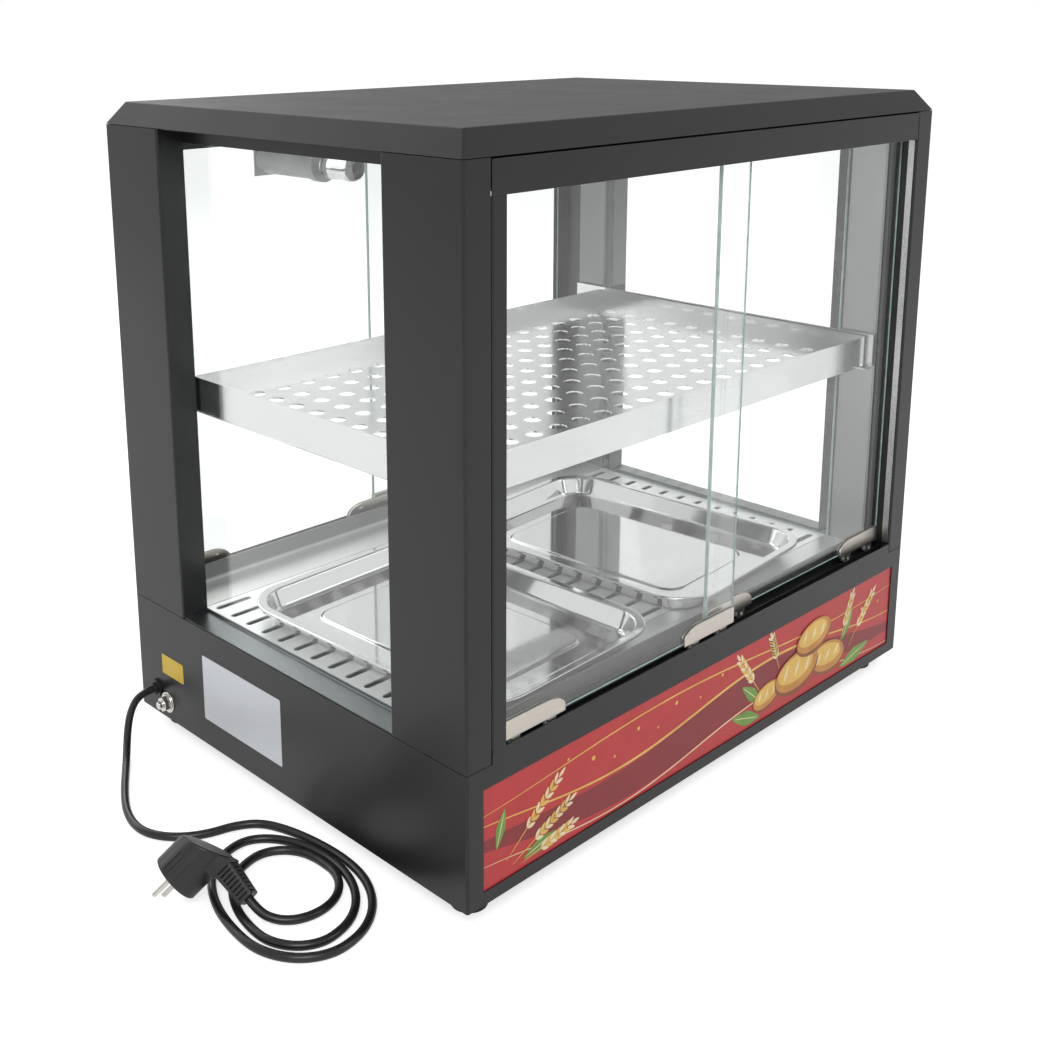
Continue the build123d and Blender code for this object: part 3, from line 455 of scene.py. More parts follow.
cordSetup = {
    "diameter": 0.0075, "length": 1.38, "wall": -0.330, "gland": 0.209, "rest": 0.00375,
    "order": 3, "stepsAlong": 6, "stepsAround": 5,
    # millimetres out from the wall, forward of the gland and, where it is off the floor, up
    "lead": [(6, 0, 45), (15, 0, 45), (27, 2.5, 42), (37.5, 8.5, 33.5), (46, 17, 22), (54, 28, 11.5),
             (63, 41.5, 5), (73, 57), (84, 74.5), (94.5, 92.5), (104, 111.5), (110.5, 132), (111, 153),
             (102, 172), (87, 186.5), (69, 196), (50, 200.5)],
    "coilQuarters": 9, "pointsPerQuarter": 4,
    # right, front, left and rear of the coil: out and forward, each with its growth per turn
    "coilSides": [((8.5, 8.5), (310, -9)), ((80, 0), (396, -16)), ((132, -12), (335, 0)), ((62, 0), (225, 26))],
    "coilHeadings": [(0, -1, 0), (-1, 0, 0), (0, 1, 0), (1, 0, 0)],
    "tail": [(25.5, 299.5), (25.5, 313), (30.5, 326.5), (39, 337.5), (50.5, 345), (64, 348.2), (77.7, 347),
             (90.3, 341.4), (100.2, 332.2, 5), (106.6, 319.9, 8.5), (108, 308.5, 15.5)],
}


def cordPlace(setup, out, forward, height=None):
    level = setup["rest"] if height is None else height / perMetre
    return Vector((setup["wall"] - out / perMetre, setup["gland"] - forward / perMetre, level))


def coilPoints(setup, start, heading):
    # each quarter is a quarter of an ellipse from one heading to the next
    points = []
    for quarter in range(setup["coilQuarters"]):
        turn, side = divmod(quarter, len(setup["coilSides"]))
        target = cordPlace(setup, *(first + turn * growth for first, growth in setup["coilSides"][side]))
        leaving = Vector(setup["coilHeadings"][side])
        across = target - start
        crossing = heading.x * leaving.y - heading.y * leaving.x
        along = (across.x * leaving.y - across.y * leaving.x) / crossing
        sideways = (heading.x * across.y - heading.y * across.x) / crossing
        for step in range(1, setup["pointsPerQuarter"] + 1):
            angle = pi / 2 * step / setup["pointsPerQuarter"]
            points.append(start + heading * along * sin(angle) + leaving * sideways * (1 - cos(angle)))
        start, heading = target, leaving
    return points


def addCord(setup, plug):
    lead = [cordPlace(setup, *place) for place in setup["lead"]]
    heading = (lead[-1] - lead[-2]).normalized()
    start = lead[-1] + heading * setup["diameter"]
    tail = [cordPlace(setup, *place) for place in setup["tail"]]
    route = lead + coilPoints(setup, start, heading) + tail
    data = bpy.data.curves.new("mainsCord", "CURVE")
    data.dimensions = "3D"
    spline = data.splines.new("NURBS")
    spline.points.add(len(route) - 1)
    for point, place in zip(spline.points, route):
        point.co = (*place, 1)
    spline.order_u = setup["order"]
    spline.use_endpoint_u = True
    spline.resolution_u = setup["stepsAlong"]
    data.bevel_depth = setup["diameter"] / 2
    data.bevel_resolution = setup["stepsAround"]
    data.use_fill_caps = True
    data.materials.append(finishes["cordSheath"])
    cord = placePiece("mainsCord", data, "case", "cord_sheath", "cord_lead", "cord_coil", "cord_tail")


# angled plug: a cup with a slanted back, finger ridges and a ribbed sleeve for the cord

plugSetup = {
    "axis": (-0.706, 0.303, -0.640), "cable": (0.105, -0.849, -0.518), "radius": 0.0214, "sides": 64,
    "backLow": 0.0265, "backHigh": 0.0455, "backEdge": 0.0018, "backSteps": 4, "rimEdge": 0.0009, "rimSteps": 3,
    # width, height, foot and head of a ridge
    "ridgeAngles": (-19, -7, 5, 17), "ridge": (0.0013, 0.0012, 0.003, 0.0215), "ridgeEdge": 0.0004,
    "neckStart": 0.003, "neckEnd": 0.0252, "neckLow": 0.0262, "neckWide": 0.0202, "neckNarrow": 0.0100,
    "neckStep": 0.0007,
    "sleeveStart": 0.0250, "sleeveEnd": 0.055, "sleeveLevel": 0.0365, "sleeveSize": (0.0172, 0.0200),
    "sleeveTaper": 0.2, "ribs": 8, "rib": 0.0021, "ribCorner": 0.003, "ribEdge": 0.0004,
    "core": (0.0056, 0.0068), "coreSunk": 0.002, "coreShort": 0.0004, "cornerBar": 0.0030,
}


def cutBack(bm, verts, middle, slope, setup):
    whole = set(verts)
    for vert in verts:
        whole.update(vert.link_edges)
        whole.update(vert.link_faces)
    cut = bmesh.ops.bisect_plane(bm, geom=list(whole), plane_co=(0, 0, middle), plane_no=(-slope, 0, 1),
                                 clear_outer=True)
    loop = only(cut["geom_cut"], BMEdge)
    bmesh.ops.holes_fill(bm, edges=loop, sides=0)
    roundOff(bm, loop, setup["backEdge"], setup["backSteps"])


def plugCup(bm, setup):
    radius, start, end, wide = setup["radius"], setup["neckStart"], setup["neckEnd"], setup["neckWide"]
    tall = 2 * setup["backHigh"]
    slope = (setup["backHigh"] - setup["backLow"]) / (2 * radius)
    middle = (setup["backHigh"] + setup["backLow"]) / 2
    cutBack(bm, rodFrom(bm, 0, tall, radius, setup["sides"]), middle, slope, setup)
    rim = [edge for edge in bm.edges if all(abs(vert.co.z) < levelWithin for vert in edge.verts)]
    roundOff(bm, rim, setup["rimEdge"], setup["rimSteps"])
    width, height, low, high = setup["ridge"]
    for side in (0, 180):
        for angle in setup["ridgeAngles"]:
            ridge = roundedBox(bm, (-width / 2, radius - height, low), (width / 2, radius + height / 2, high),
                               setup["ridgeEdge"])
            turnAndPlace(bm, ridge, turned(angle + side))
    neck = boxBetween(bm, (start, -wide, setup["neckLow"]), (end, wide, tall))
    outer = [vert for vert in neck if vert.co.x > (start + end) / 2]
    bmesh.ops.scale(bm, vec=(1, setup["neckNarrow"] / wide, 1), verts=outer)
    cutBack(bm, neck, middle - setup["neckStep"], slope, setup)


def plugSleeve(bm, setup):
    before = set(bm.verts)
    start, end, edge = setup["sleeveStart"], setup["sleeveEnd"], setup["ribEdge"]
    tall, wide = setup["sleeveSize"]
    pitch = (end - start) / setup["ribs"]
    for rib in range(1, setup["ribs"] + 1):
        verts = roundedPlate(bm, tall, wide, setup["ribCorner"], setup["rib"], edge)
        turnAndPlace(bm, verts, turned(90, "Y"), (start + rib * pitch - setup["rib"], 0, 0))
    near, far = start - setup["coreSunk"], end - setup["coreShort"]
    coreTall, coreWide = setup["core"]
    boxBetween(bm, (near, -coreWide, -coreTall), (far, coreWide, coreTall))
    bar = setup["cornerBar"] / 2
    for upper in (-1, 1):
        for side in (-1, 1):
            y, z = side * (wide / 2 - bar - edge), upper * (tall / 2 - bar - edge)
            boxBetween(bm, (near, y - bar, z - bar), (far, y + bar, z + bar))
    made = [vert for vert in bm.verts if vert not in before]
    for vert in made:
        share = 1 - setup["sleeveTaper"] * (vert.co.x - start) / (end - start)
        vert.co.y *= share
        vert.co.z *= share
    bmesh.ops.translate(bm, vec=(0, 0, setup["sleeveLevel"]), verts=made)


def addPlug(setup, cordEnd):
    cable, axis = Vector(setup["cable"]).normalized(), Vector(setup["axis"]).normalized()
    face = cordEnd - cable * setup["sleeveEnd"] + axis * setup["sleeveLevel"]
    bm = bmesh.new()
    plugCup(bm, setup)
    plugSleeve(bm, setup)
    turnAndPlace(bm, bm.verts[:], Matrix((cable, cable.cross(axis), -axis)).transposed(), face)
    faceOutward(bm)
    return addPiece("plugShell", bm, "case", ["darkPlastic"], "black_plastic", "plug_body")


addCord(cordSetup, addPlug(plugSetup, cordPlace(cordSetup, *cordSetup["tail"][-1])))
print("cord laid")


# earth terminal on the left wall: washers, nut and stud end

studSetup = {
    "place": (-0.330, 0.190, 0.036), "edge": 0.0004,
    # height, radius and sides of each ring, from the wall outwards, and of the nut inside
    "rings": [(0.0012, 0.0108, 40), (0.0009, 0.0088, 18), (0.0056, 0.0078, 6), (0.0042, 0.0039, 28)],
    "innerNut": (0.0045, 0.0060, 6),
}


def addStud(setup):
    bm = bmesh.new()
    stack, level = [], 0.0
    for ring in setup["rings"]:
        stack.append((level, *ring))
        level += ring[0]
    inside = setup["place"][0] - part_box("earth_stud")[1].x
    for ring in stack + [(inside, *setup["innerNut"])]:
        edges = {edge for vert in rodFrom(bm, *ring) for edge in vert.link_edges}
        rims = [edge for edge in edges if abs(edge.verts[0].co.z - edge.verts[1].co.z) < levelWithin]
        roundOff(bm, rims, setup["edge"], smallSteps)
    turnAndPlace(bm, bm.verts[:], facings["left"], setup["place"])
    faceOutward(bm)
    addPiece("earthTerminal", bm, "case", ["nickel"], "stainless", "earth_stud")


addStud(studSetup)
print("earth terminal set")


# glass panes with ground edges

paneSetup = {"arris": 0.0006, "square": 0.99}


def addPane(name, node, body, thin, setup):
    bm = bmesh.new()
    boxBetween(bm, *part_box(node))
    roundOff(bm, bm.edges[:], setup["arris"], smallSteps)
    for face in bm.faces:
        face.material_index = 0 if abs(face.normal[thin]) > setup["square"] else 1
    addPiece(name, bm, body, ["paneGlass", "paneEdge"], "clear_glass", node)


for door, stem in doors.items():
    addPane(stem + "Glass", door + "_pane", door, 1, paneSetup)
addPane("leftGlass", "side_glass_left", "case", 0, paneSetup)
addPane("rightGlass", "side_glass_right", "case", 0, paneSetup)
print("panes set")


# punched sheets: one cell with its hole, repeated and welded

def startCell(bm, width, height, sides):
    # an outline with as many points as the hole
    flatSheet(bm, width, height)
    bmesh.ops.delete(bm, geom=bm.faces[:], context="FACES_ONLY")
    bmesh.ops.subdivide_edges(bm, edges=bm.edges[:], cuts=sides // 4 - 1)


def evenSpots(count, pitch):
    return [(spot - (count - 1) / 2) * pitch for spot in range(count)]


def repeatCell(bm, columns, rows):
    bmesh.ops.bridge_loops(bm, edges=bm.edges[:])
    cell = wholeOf(bm)
    for x in columns:
        for y in rows:
            copied = bmesh.ops.duplicate(bm, geom=cell)["geom"]
            bmesh.ops.translate(bm, vec=(x, y, 0), verts=only(copied, BMVert))
    bmesh.ops.delete(bm, geom=cell, context="VERTS")
    bmesh.ops.remove_doubles(bm, verts=bm.verts[:], dist=touchWithin)


def edgesAlong(bm, axis, value):
    return [edge for edge in bm.edges if edge.is_boundary
            and all(abs(vert.co[axis] - value) < touchWithin for vert in edge.verts)]


def finishSheet(bm, low, high):
    thicken(bm, high.z - low.z, bm.faces[:][0])
    top = max(vert.co.z for vert in bm.verts)
    middle = (low + high) / 2
    bmesh.ops.translate(bm, vec=(middle.x, middle.y, high.z - top), verts=bm.verts[:])


# perforated shelf plate

shelfSetup = {"hole": 0.008, "pitch": 0.030, "margin": 0.020, "slack": 0.1, "holeSides": 24}


def addShelfPlate(setup):
    low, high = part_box("shelf_plate")
    size = high - low
    pitch, sides = setup["pitch"], setup["holeSides"]
    across, deep = (int((room - 2 * setup["margin"]) / pitch + setup["slack"]) for room in size.xy)
    bm = bmesh.new()
    startCell(bm, pitch, pitch, sides)
    bmesh.ops.create_circle(bm, cap_ends=False, segments=sides, radius=setup["hole"])
    repeatCell(bm, evenSpots(across, pitch), evenSpots(deep, pitch))
    halfX, halfY = across * pitch / 2, deep * pitch / 2
    border = [edge for side in (-1, 1) for axis, half in ((0, halfX), (1, halfY))
              for edge in edgesAlong(bm, axis, side * half)]
    rim = bmesh.ops.extrude_edge_only(bm, edges=border)["geom"]
    bmesh.ops.scale(bm, vec=(size.x / 2 / halfX, size.y / 2 / halfY, 1), verts=only(rim, BMVert))
    finishSheet(bm, low, high)
    addPiece("perforatedShelf", bm, "shelf", ["shelfSteel"], "stainless", "shelf_plate")


addShelfPlate(shelfSetup)
print("shelf plate punched")


# slotted floor plate: three columns of slots with plain sheet between them

floorSetup = {
    "columns": (-1, 0, 1), "pitch": 0.025, "length": 0.040, "width": 0.007, "edge": 0.011, "rowRoom": 0.005,
    "slotSides": 24,
}


def addFloorPlate(setup):
    low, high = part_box("floor_plate")
    size = high - low
    pitch, length, width, sides = setup["pitch"], setup["length"], setup["width"], setup["slotSides"]
    cellWide = length + 2 * setup["edge"]
    reach = (size.x - cellWide) / 2
    rows = int((size.y - 2 * setup["rowRoom"]) / pitch) + 1
    bm = bmesh.new()
    startCell(bm, cellWide, pitch, sides)
    slot = bmesh.ops.create_circle(bm, cap_ends=False, segments=sides, radius=width / 2)["verts"]
    turnAndPlace(bm, slot, turned(180 / sides))
    for side in (-1, 1):
        half = [vert for vert in slot if vert.co.x * side > 0]
        bmesh.ops.translate(bm, vec=(side * (length - width) / 2, 0, 0), verts=half)
    repeatCell(bm, [column * reach for column in setup["columns"]], evenSpots(rows, pitch))
    for side in (-1, 1):
        inner, outer = side * cellWide / 2, side * (reach - cellWide / 2)
        bmesh.ops.bridge_loops(bm, edges=edgesAlong(bm, 0, inner) + edgesAlong(bm, 0, outer))
    for side in (-1, 1):
        border = edgesAlong(bm, 1, side * rows * pitch / 2)
        rim = bmesh.ops.extrude_edge_only(bm, edges=border)["geom"]
        bmesh.ops.translate(bm, vec=(0, side * pitch, 0), verts=only(rim, BMVert))
        bmesh.ops.bisect_plane(bm, geom=wholeOf(bm), plane_co=(0, side * size.y / 2, 0), plane_no=(0, side, 0),
                               clear_outer=True)
    finishSheet(bm, low, high)
    addPiece("slottedFloor", bm, "case", ["floorSteel"], "stainless", "floor_plate")


addFloorPlate(floorSetup)
print("floor plate punched")


# upper door guides: two channels below, a trough above and a seam between the outer wall and the lid

railSetup = {
    "depth": 0.023, "sheet": 0.0012, "channel": 0.016, "finShort": 0.004, "seam": 0.0016, "edge": 0.0003,
}


def addTopRails(setup):
    low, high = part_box("top_rails")
    sheet, foot, web = setup["sheet"], low.z, low.z + setup["channel"]
    front, back, fin = low.y, low.y + setup["depth"], low.y + setup["depth"] / 2
    brow, finFoot = high.z - setup["seam"], foot + setup["finShort"]
    section = [
        (front, foot), (front, brow), (front + sheet, brow), (front + sheet, web + sheet),
        (back - sheet, web + sheet), (back - sheet, high.z), (back, high.z), (back, foot), (back - sheet, foot),
        (back - sheet, web), (fin + sheet / 2, web), (fin + sheet / 2, finFoot), (fin - sheet / 2, finFoot),
        (fin - sheet / 2, web), (front + sheet, web), (front + sheet, foot),
    ]
    bm = bmesh.new()
    corners = [bmesh.ops.create_vert(bm, co=(low.x, y, z))["vert"][0] for y, z in section]
    for count, corner in enumerate(corners):
        bmesh.ops.contextual_create(bm, geom=[corners[count - 1], corner])
    end = bmesh.ops.edgeloop_fill(bm, edges=bm.edges[:])["faces"]
    drawn = bmesh.ops.extrude_face_region(bm, geom=end)["geom"]
    bmesh.ops.translate(bm, vec=(high.x - low.x, 0, 0), verts=only(drawn, BMVert))
    faceOutward(bm)
    roundOff(bm, bm.edges[:], setup["edge"], smallSteps)
    copied = bmesh.ops.duplicate(bm, geom=wholeOf(bm))["geom"]
    turnAndPlace(bm, only(copied, BMVert), turned(180))
    addPiece("headerRails", bm, "case", ["blackCoat"], "black_coat", "top_rails")


addTopRails(railSetup)
print("upper guides drawn")


# pressed pans

panSetup = {
    "width": 0.241, "length": 0.324, "corner": 0.045, "cornerSteps": 12, "sheet": 0.0008, "bend": 0.0008,
    # inset and drop in millimetres of each ring, from the rim inwards: rim, bend, wall, fillet, floor
    "rings": [(0.8, 0), (5.0, 0), (0.6, 0),
              (0.73, 0.11), (0.67, 0.32), (0.54, 0.50), (0.38, 0.63),
              (0.2, 0.5), (5.46, 13.51), (0.2, 0.5),
              (0.75, 1.27), (1.09, 1.00), (1.33, 0.64), (1.46, 0.22),
              (0.6, 0), (4.0, 0)],
    "bossStart": 0.0002, "bossSqueeze": 0.0244,
    "bossRings": [(0.6, 0), (0.7, -0.15), (0.9, -0.65), (0.9, -0.65), (0.7, -0.15), (0.6, 0)],
    # growth and drop in millimetres of the turned-down rim
    "rimRings": [(0.45, 0.15), (0.35, 0.45), (0.0, 0.6), (0.0, 1.6)],
    # name, place and turn
    "places": {"left_pan": ("leftPan", -0.162, -0.0405, 2.0), "right_pan": ("rightPan", 0.113, -0.026, 4.0)},
}


def pressRings(bm, face, rings):
    for inset, drop in rings:
        bmesh.ops.inset_region(bm, faces=[face], thickness=inset / perMetre, use_boundary=True,
                               use_even_offset=True)
        bmesh.ops.translate(bm, vec=(0, 0, -drop / perMetre), verts=face.verts[:])


def addPan(node, name, x, y, turn, setup):
    bm = bmesh.new()
    sheet = flatSheet(bm, setup["width"] - 2 * setup["bend"], setup["length"] - 2 * setup["bend"])
    roundOff(bm, sheet, setup["corner"], setup["cornerSteps"], "VERTICES")
    floor = bm.faces[:][0]
    pressRings(bm, floor, setup["rings"])
    # the raised middle keeps the corner's roundness and draws in from all four sides
    bmesh.ops.inset_region(bm, faces=[floor], thickness=setup["bossStart"], use_even_offset=True)
    for vert in floor.verts:
        vert.co.x -= copysign(setup["bossSqueeze"], vert.co.x)
        vert.co.y -= copysign(setup["bossSqueeze"], vert.co.y)
    pressRings(bm, floor, setup["bossRings"])
    border = [edge for edge in bm.edges if edge.is_boundary]
    for grow, drop in setup["rimRings"]:
        made = bmesh.ops.extrude_edge_only(bm, edges=border)["geom"]
        border = [edge for edge in only(made, BMEdge) if edge.is_boundary]
        wider, longer = (1 + 2 * grow / perMetre / setup[side] for side in ("width", "length"))
        bmesh.ops.scale(bm, vec=(wider, longer, 1), verts=only(made, BMVert))
        bmesh.ops.translate(bm, vec=(0, 0, -drop / perMetre), verts=only(made, BMVert))
    thicken(bm, setup["sheet"], floor)
    lowest = min(vert.co.z for vert in bm.verts)
    turnAndPlace(bm, bm.verts[:], turned(turn), (x, y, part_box(node)[0].z - lowest))
    addPiece(name, bm, node, ["panSteel"], "stainless", node, smooth=True)


for node, place in panSetup["places"].items():
    addPan(node, *place, panSetup)
print("pans pressed")


# printed panel: a made-up design of rolls, wheat and leaves between two waves

bannerSetup = {
    "face": -0.2388, "layer": 0.00004, "ink": 0.00003, "middle": 0.0745,
    # below: millimetres from the panel's middle, degrees, and shares of a motif's own size
    "halfLength": 311.6, "bandSteps": 72, "bandTaper": 0.7,
    # ink, level, height, waves, start and thickness of each band
    "bands": [("winePrint", -13, 11, 1.35, 0.4, 34), ("goldPrint", 5, 11, 1.35, 0.4, 2.6),
              ("creamPrint", -31, 11, 1.35, 0.4, 1.4), ("goldPrint", 27, 7, 1.1, 2.4, 1.6)],
    # place and radius
    "crumbs": [(-180, 18, 2.2), (-152, 8, 1.4), (-120, 22, 1.8), (-92, 12, 1.2), (-66, 26, 2.0), (-30, 18, 1.3),
               (4, 28, 1.7), (36, 20, 1.2), (254, 14, 1.9), (272, 24, 1.3), (288, 12, 1.6), (-212, 30, 1.3)],
    "crumbSides": 12,
    # place, half width, half height and turn
    "leaves": [(46, -33, 24, 8, 163), (54, -11, 21, 7, 141), (244, -34, 29, 8, 11), (226, 6, 18, 6.5, 58),
               (-246, -33, 20, 6, 12), (-292, 2, 17, 5.5, 74)],
    "leafPoint": 0.55, "veinShare": 0.86, "veinHalf": 0.45, "leafLayer": 5,
    # root, heading and length
    "ears": [(70, -16, 128, 66), (100, 0, 112, 44), (212, -12, 66, 56), (230, -22, 47, 70),
             (-286, -30, 38, 84), (-278, -36, 22, 78), (-268, -40, 8, 66)],
    "stalkMiddle": 0.45, "stalkShare": 0.46, "stalkHalf": 0.55, "earLayer": 7,
    # half width, half height and point of a grain and of the tip
    "grain": (4.6, 1.9, 0.35), "tip": (5.2, 1.9, 0.4), "grainSides": 14,
    "grains": 7, "grainStart": 0.42, "grainSpan": 0.5, "grainAside": 2.9, "grainTurn": 27,
    # place, half width, half height and turn
    "rolls": [(80, -22, 24, 14, 10), (190, -19, 33, 18.5, -7), (132, -15, 39, 22, 4), (161, 14, 32, 18, 8)],
    "rollLayer": 9, "rollSides": 32,
    # ink, shift to the right and up, width and height of a roll's ovals
    "rollOvals": [("brownPrint", 0, 0, 1, 1), ("crustPrint", 0, 0.09, 0.96, 0.88),
                  ("goldPrint", -0.06, 0.22, 0.80, 0.62)],
    "cuts": (-0.5, 0.0, 0.5), "cutUp": 0.2, "cutLong": 0.40, "cutWide": 0.11, "cutTurn": 62, "cutPoint": 0.6,
}
inks = list(inkColors)


def layPrint(bm, setup, ink, layer, x, z, verts):
    # from the drawing plane to the panel, facing the customer
    place = (x / perMetre, setup["face"] - layer * setup["layer"], setup["middle"] + z / perMetre)
    turnAndPlace(bm, verts, turned(90, "X"), place)
    for vert in verts:
        for face in vert.link_faces:
            face.material_index = inks.index(ink)


def printOval(bm, setup, ink, layer, x, z, halfWidth, halfHeight, turn=0.0, pointed=0.0, sides=20):
    made = bmesh.ops.create_circle(bm, cap_ends=True, segments=sides, radius=1.0)["verts"]
    for vert in made:
        vert.co.y *= 1 - pointed * abs(vert.co.x)
    bmesh.ops.scale(bm, vec=(halfWidth / perMetre, halfHeight / perMetre, 1), verts=made)
    turnAndPlace(bm, made, turned(turn))
    layPrint(bm, setup, ink, layer, x, z, made)


def printBand(bm, setup, layer, ink, level, height, waves, start, thick):
    made = bmesh.ops.create_grid(bm, x_segments=setup["bandSteps"], y_segments=1, size=1.0)["verts"]
    for vert in made:
        along, edge = vert.co.x, vert.co.y
        half = thick / 2 * (1 - setup["bandTaper"] * along * along)
        vert.co.x = along * setup["halfLength"] / perMetre
        vert.co.y = (level + height * sin(pi * waves * along + start) + edge * half) / perMetre
    layPrint(bm, setup, ink, layer, 0, 0, made)


def printLeaf(bm, setup, layer, x, z, halfWidth, halfHeight, turn):
    printOval(bm, setup, "leafPrint", layer, x, z, halfWidth, halfHeight, turn, setup["leafPoint"])
    printOval(bm, setup, "creamPrint", layer + 1, x, z, halfWidth * setup["veinShare"], setup["veinHalf"], turn)


def printEar(bm, setup, layer, x, z, heading, length):
    root, angle, sides = Vector((x, z)), radians(heading), setup["grainSides"]
    ahead, aside = Vector((cos(angle), sin(angle))), Vector((-sin(angle), cos(angle)))
    half = root + ahead * length * setup["stalkMiddle"]
    printOval(bm, setup, "goldPrint", layer, *half, length * setup["stalkShare"], setup["stalkHalf"], heading)
    wide, high, point = setup["grain"]
    for grain in range(setup["grains"]):
        share = setup["grainStart"] + setup["grainSpan"] * grain / (setup["grains"] - 1)
        ink = "goldPrint" if grain % 2 else "creamPrint"
        for side in (-1, 1):
            spot = root + ahead * length * share + aside * side * setup["grainAside"]
            turn = heading + side * setup["grainTurn"]
            printOval(bm, setup, ink, layer + 1, *spot, wide, high, turn, point, sides)
    wide, high, point = setup["tip"]
    printOval(bm, setup, "creamPrint", layer + 1, *(root + ahead * length), wide, high, heading, point, sides)


def printRoll(bm, setup, layer, x, z, halfWidth, halfHeight, turn):
    for ink, right, up, wide, high in setup["rollOvals"]:
        printOval(bm, setup, ink, layer, x + right * halfWidth, z + up * halfHeight, wide * halfWidth,
                  high * halfHeight, turn, sides=setup["rollSides"])
        layer += 1
    up, long, wide = (setup[key] * halfHeight for key in ("cutUp", "cutLong", "cutWide"))
    for share in setup["cuts"]:
        printOval(bm, setup, "creamPrint", layer, x + share * halfWidth, z + up, long, wide,
                  turn + setup["cutTurn"], setup["cutPoint"])
    return layer + 1


def addBannerPrint(setup):
    bm = bmesh.new()
    for layer, band in enumerate(setup["bands"], 1):
        printBand(bm, setup, layer, *band)
    for x, z, radius in setup["crumbs"]:
        printOval(bm, setup, "goldPrint", setup["leafLayer"], x, z, radius, radius, sides=setup["crumbSides"])
    for leaf in setup["leaves"]:
        printLeaf(bm, setup, setup["leafLayer"], *leaf)
    for ear in setup["ears"]:
        printEar(bm, setup, setup["earLayer"], *ear)
    layer = setup["rollLayer"]
    for roll in setup["rolls"]:
        layer = printRoll(bm, setup, layer, *roll)
    bmesh.ops.solidify(bm, geom=bm.faces[:], thickness=setup["ink"])
    addPiece("bannerPrint", bm, "case", inks, "banner_film")


addBannerPrint(bannerSetup)
print("banner printed")


# bare labels on the left wall and bright trims in the door jambs

edgeShare = 1 / 3  # of a plate's thickness
plateSetup = {
    # name: middle, width, height, corner, thickness, facing, finish, slot
    "ratingPlate": ((-0.330, 0.061, 0.078), 0.124, 0.066, 0.0016, 0.0003, "left", "labelFoil", "stainless"),
    "yellowLabel": ((-0.330, 0.178, 0.0765), 0.038, 0.0205, 0.0012, 0.0002, "left", "labelYellow",
                    "banner_film"),
    "frontJambTrim": ((0.302, -0.2343, 0.364), 0.0064, 0.430, 0.0006, 0.0003, "left", "sheetSteel",
                      "stainless"),
    "rearJambTrim": ((-0.302, 0.2343, 0.364), 0.0064, 0.430, 0.0006, 0.0003, "right", "sheetSteel",
                     "stainless"),
}


def addPlate(name, middle, width, height, corner, thickness, facing, look, slot):
    bm = bmesh.new()
    verts = roundedPlate(bm, width, height, corner, thickness, thickness * edgeShare)
    turnAndPlace(bm, verts, facings[facing], middle)
    faceOutward(bm)
    addPiece(name, bm, "case", [look], slot)


for name, plate in plateSetup.items():
    addPlate(name, *plate)
print("labels and trims set")


# door clips: two pressed cheeks joined under the pane, with ears for the rollers and two screws from the inside

clipSetup = {
    "length": 0.075, "height": 0.016, "cheek": 0.0013, "passing": 0.0002, "edge": 0.0004, "edgeSteps": 3,
    "corner": 0.011, "cornerStretch": 2.0, "cornerSteps": 8, "blunt": 0.002, "bluntSteps": 4,
    "web": 0.002, "webShort": 0.0005, "webGap": 0.0001,
    "ear": 0.010, "earLap": 0.001, "earEdge": 0.0003, "spacing": 0.042,
    "screwLevel": 0.0095, "screwRadius": 0.0026, "screwRound": 0.98, "screwSteps": 6, "screwHead": 0.0014,
    "screwDome": 0.0009,
}


def clipCheek(bm, ramp, setup):
    # a long rounded corner towards the pane's middle and a short one at its edge
    before = set(bm.verts)
    made = flatSheet(bm, setup["length"] / setup["cornerStretch"], setup["height"])
    upper = sorted((vert for vert in made if vert.co.y > 0), key=lambda vert: vert.co.x * ramp)
    roundOff(bm, upper[1:], setup["corner"], setup["cornerSteps"], "VERTICES")
    made = [vert for vert in bm.verts if vert not in before]
    bmesh.ops.scale(bm, vec=(setup["cornerStretch"], 1, 1), verts=made)
    roundOff(bm, upper[:1], setup["blunt"], setup["bluntSteps"], "VERTICES")
    return raiseSheet(bm, before, setup["cheek"], setup["edge"], setup["edgeSteps"])


def clipScrew(bm, facing, place, setup):
    radius = setup["screwRadius"]
    head = roundedPlate(bm, 2 * radius, 2 * radius, radius * setup["screwRound"], setup["screwHead"],
                        setup["screwDome"], setup["screwSteps"])
    for vert in head:
        for face in vert.link_faces:
            face.material_index = 1
    turnAndPlace(bm, head, facings[facing], place)


def addClips(door, name, inward, setup):
    low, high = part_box(door + "_clips")
    low.y, high.y = low.y + setup["passing"], high.y - setup["passing"]
    foot = high.z - setup["height"]
    cheek, half, ear = setup["cheek"], setup["length"] / 2, setup["ear"] / 2
    bm = bmesh.new()
    for middle, toward in ((low.x + half, 1), (high.x - half, -1)):
        for facing, inner, outer in (("front", low.y + cheek, low.y), ("rear", high.y - cheek, high.y)):
            verts = clipCheek(bm, toward if facing == "front" else -toward, setup)
            turnAndPlace(bm, verts, facings[facing], (middle, inner, foot + setup["height"] / 2))
            near, far = sorted((inner, outer))
            for side in (-1, 1):
                x = middle + side * setup["spacing"] / 2
                roundedBox(bm, (x - ear, near, low.z), (x + ear, far, foot + setup["earLap"]), setup["earEdge"])
                if facing == inward:
                    clipScrew(bm, facing, (x, outer, foot + setup["screwLevel"]), setup)
        reach = half - setup["webShort"]
        boxBetween(bm, (middle - reach, low.y + cheek / 2, foot + setup["webGap"]),
                   (middle + reach, high.y - cheek / 2, foot + setup["web"]))
    faceOutward(bm)
    addPiece(name, bm, door, ["clipSteel", "nickel"], "clip_metal", door + "_clips")


for door, stem in doors.items():
    addClips(door, stem + "Clips", "rear" if door.startswith("front") else "front", clipSetup)
print("clips folded")


# marks on the controls at the back

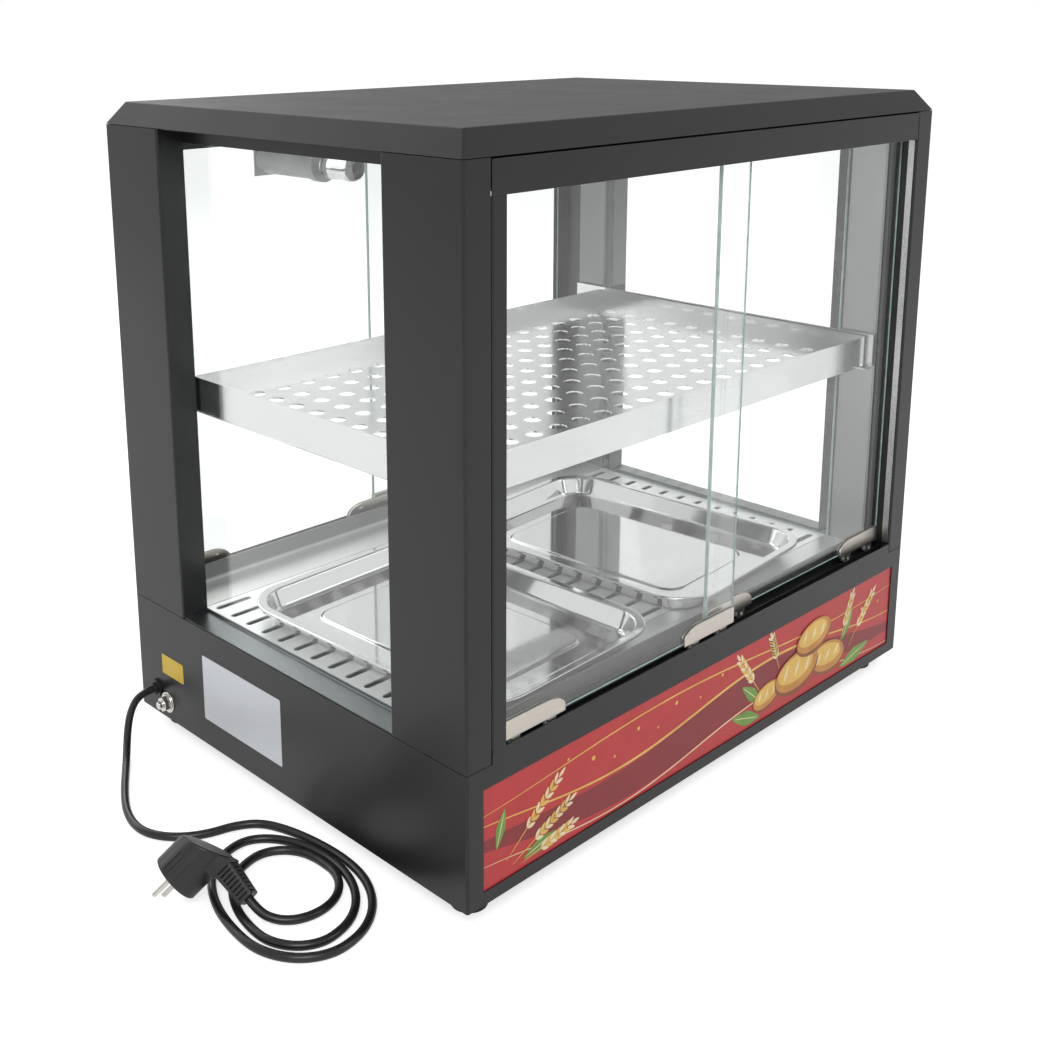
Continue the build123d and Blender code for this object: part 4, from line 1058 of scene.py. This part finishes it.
markSetup = {
    "panel": 0.2288, "level": 0.078, "knobX": 0.060, "knobFace": 0.2471,
    "ticks": 11, "sweep": 270.0, "tickRing": (0.0228, 0.0245), "tickGrowth": 0.0035,
    # corner, thickness, edge and corner steps of a tick
    "tickWidth": 0.0009, "tick": (0.0002, 0.00015, 0.00005, 2),
    # width, length, corner, thickness, edge and corner steps
    "pointer": (0.0016, 0.010, 0.0006, 0.0002, 0.00006, 4), "pointerOut": 0.0098,
    "bar": (0.0010, 0.0042, 0.0003, 0.00012, 0.00004, 2),
    "ringRadii": (0.0021, 0.0014), "ringSides": 28, "ringThick": 0.00012,
    # depth, level and lean of the two faces of a rocker
    "barFace": (0.23237, 0.08213, -20.0), "ringFace": (0.23078, 0.07307, 0.0),
    "switches": {"power_rocker": ("powerMarks", 0.130), "lamp_rocker": ("lampMarks", 0.178)},
}


def addMarks(name, bm, body):
    faceOutward(bm)
    addPiece(name, bm, body, ["markWhite"], "lamp_holder_grey")


def addDial(setup):
    bm = bmesh.new()
    inner, outer = setup["tickRing"]
    for count in range(setup["ticks"]):
        share = count / (setup["ticks"] - 1)
        length = outer + setup["tickGrowth"] * share - inner
        verts = roundedPlate(bm, setup["tickWidth"], length, *setup["tick"])
        bmesh.ops.translate(bm, vec=(0, inner + length / 2, 0), verts=verts)
        turn = facings["rear"] @ turned(-setup["sweep"] * share)
        turnAndPlace(bm, verts, turn, (setup["knobX"], setup["panel"], setup["level"]))
    addMarks("dialTicks", bm, "case")

    bm = bmesh.new()
    verts = roundedPlate(bm, *setup["pointer"])
    bmesh.ops.translate(bm, vec=(0, setup["pointerOut"], 0), verts=verts)
    turnAndPlace(bm, verts, facings["rear"], (setup["knobX"], setup["knobFace"], setup["level"]))
    addMarks("knobPointer", bm, "thermostat_knob")


def addSwitchMarks(setup):
    for body, (name, x) in setup["switches"].items():
        bm = bmesh.new()
        y, z, lean = setup["barFace"]
        verts = roundedPlate(bm, *setup["bar"])
        turnAndPlace(bm, verts, turned(lean, "X") @ facings["rear"], (x, y, z))
        before = set(bm.verts)
        for radius in setup["ringRadii"]:
            bmesh.ops.create_circle(bm, segments=setup["ringSides"], radius=radius)
        loops = [edge for edge in bm.edges if edge.verts[0] not in before]
        ring = bmesh.ops.bridge_loops(bm, edges=loops)["faces"]
        bmesh.ops.solidify(bm, geom=ring, thickness=setup["ringThick"])
        verts = [vert for vert in bm.verts if vert not in before]
        y, z, lean = setup["ringFace"]
        turnAndPlace(bm, verts, turned(lean, "X") @ facings["rear"], (x, y + setup["ringThick"] / 2, z))
        addMarks(name, bm, body)


addDial(markSetup)
addSwitchMarks(markSetup)
print("controls marked")
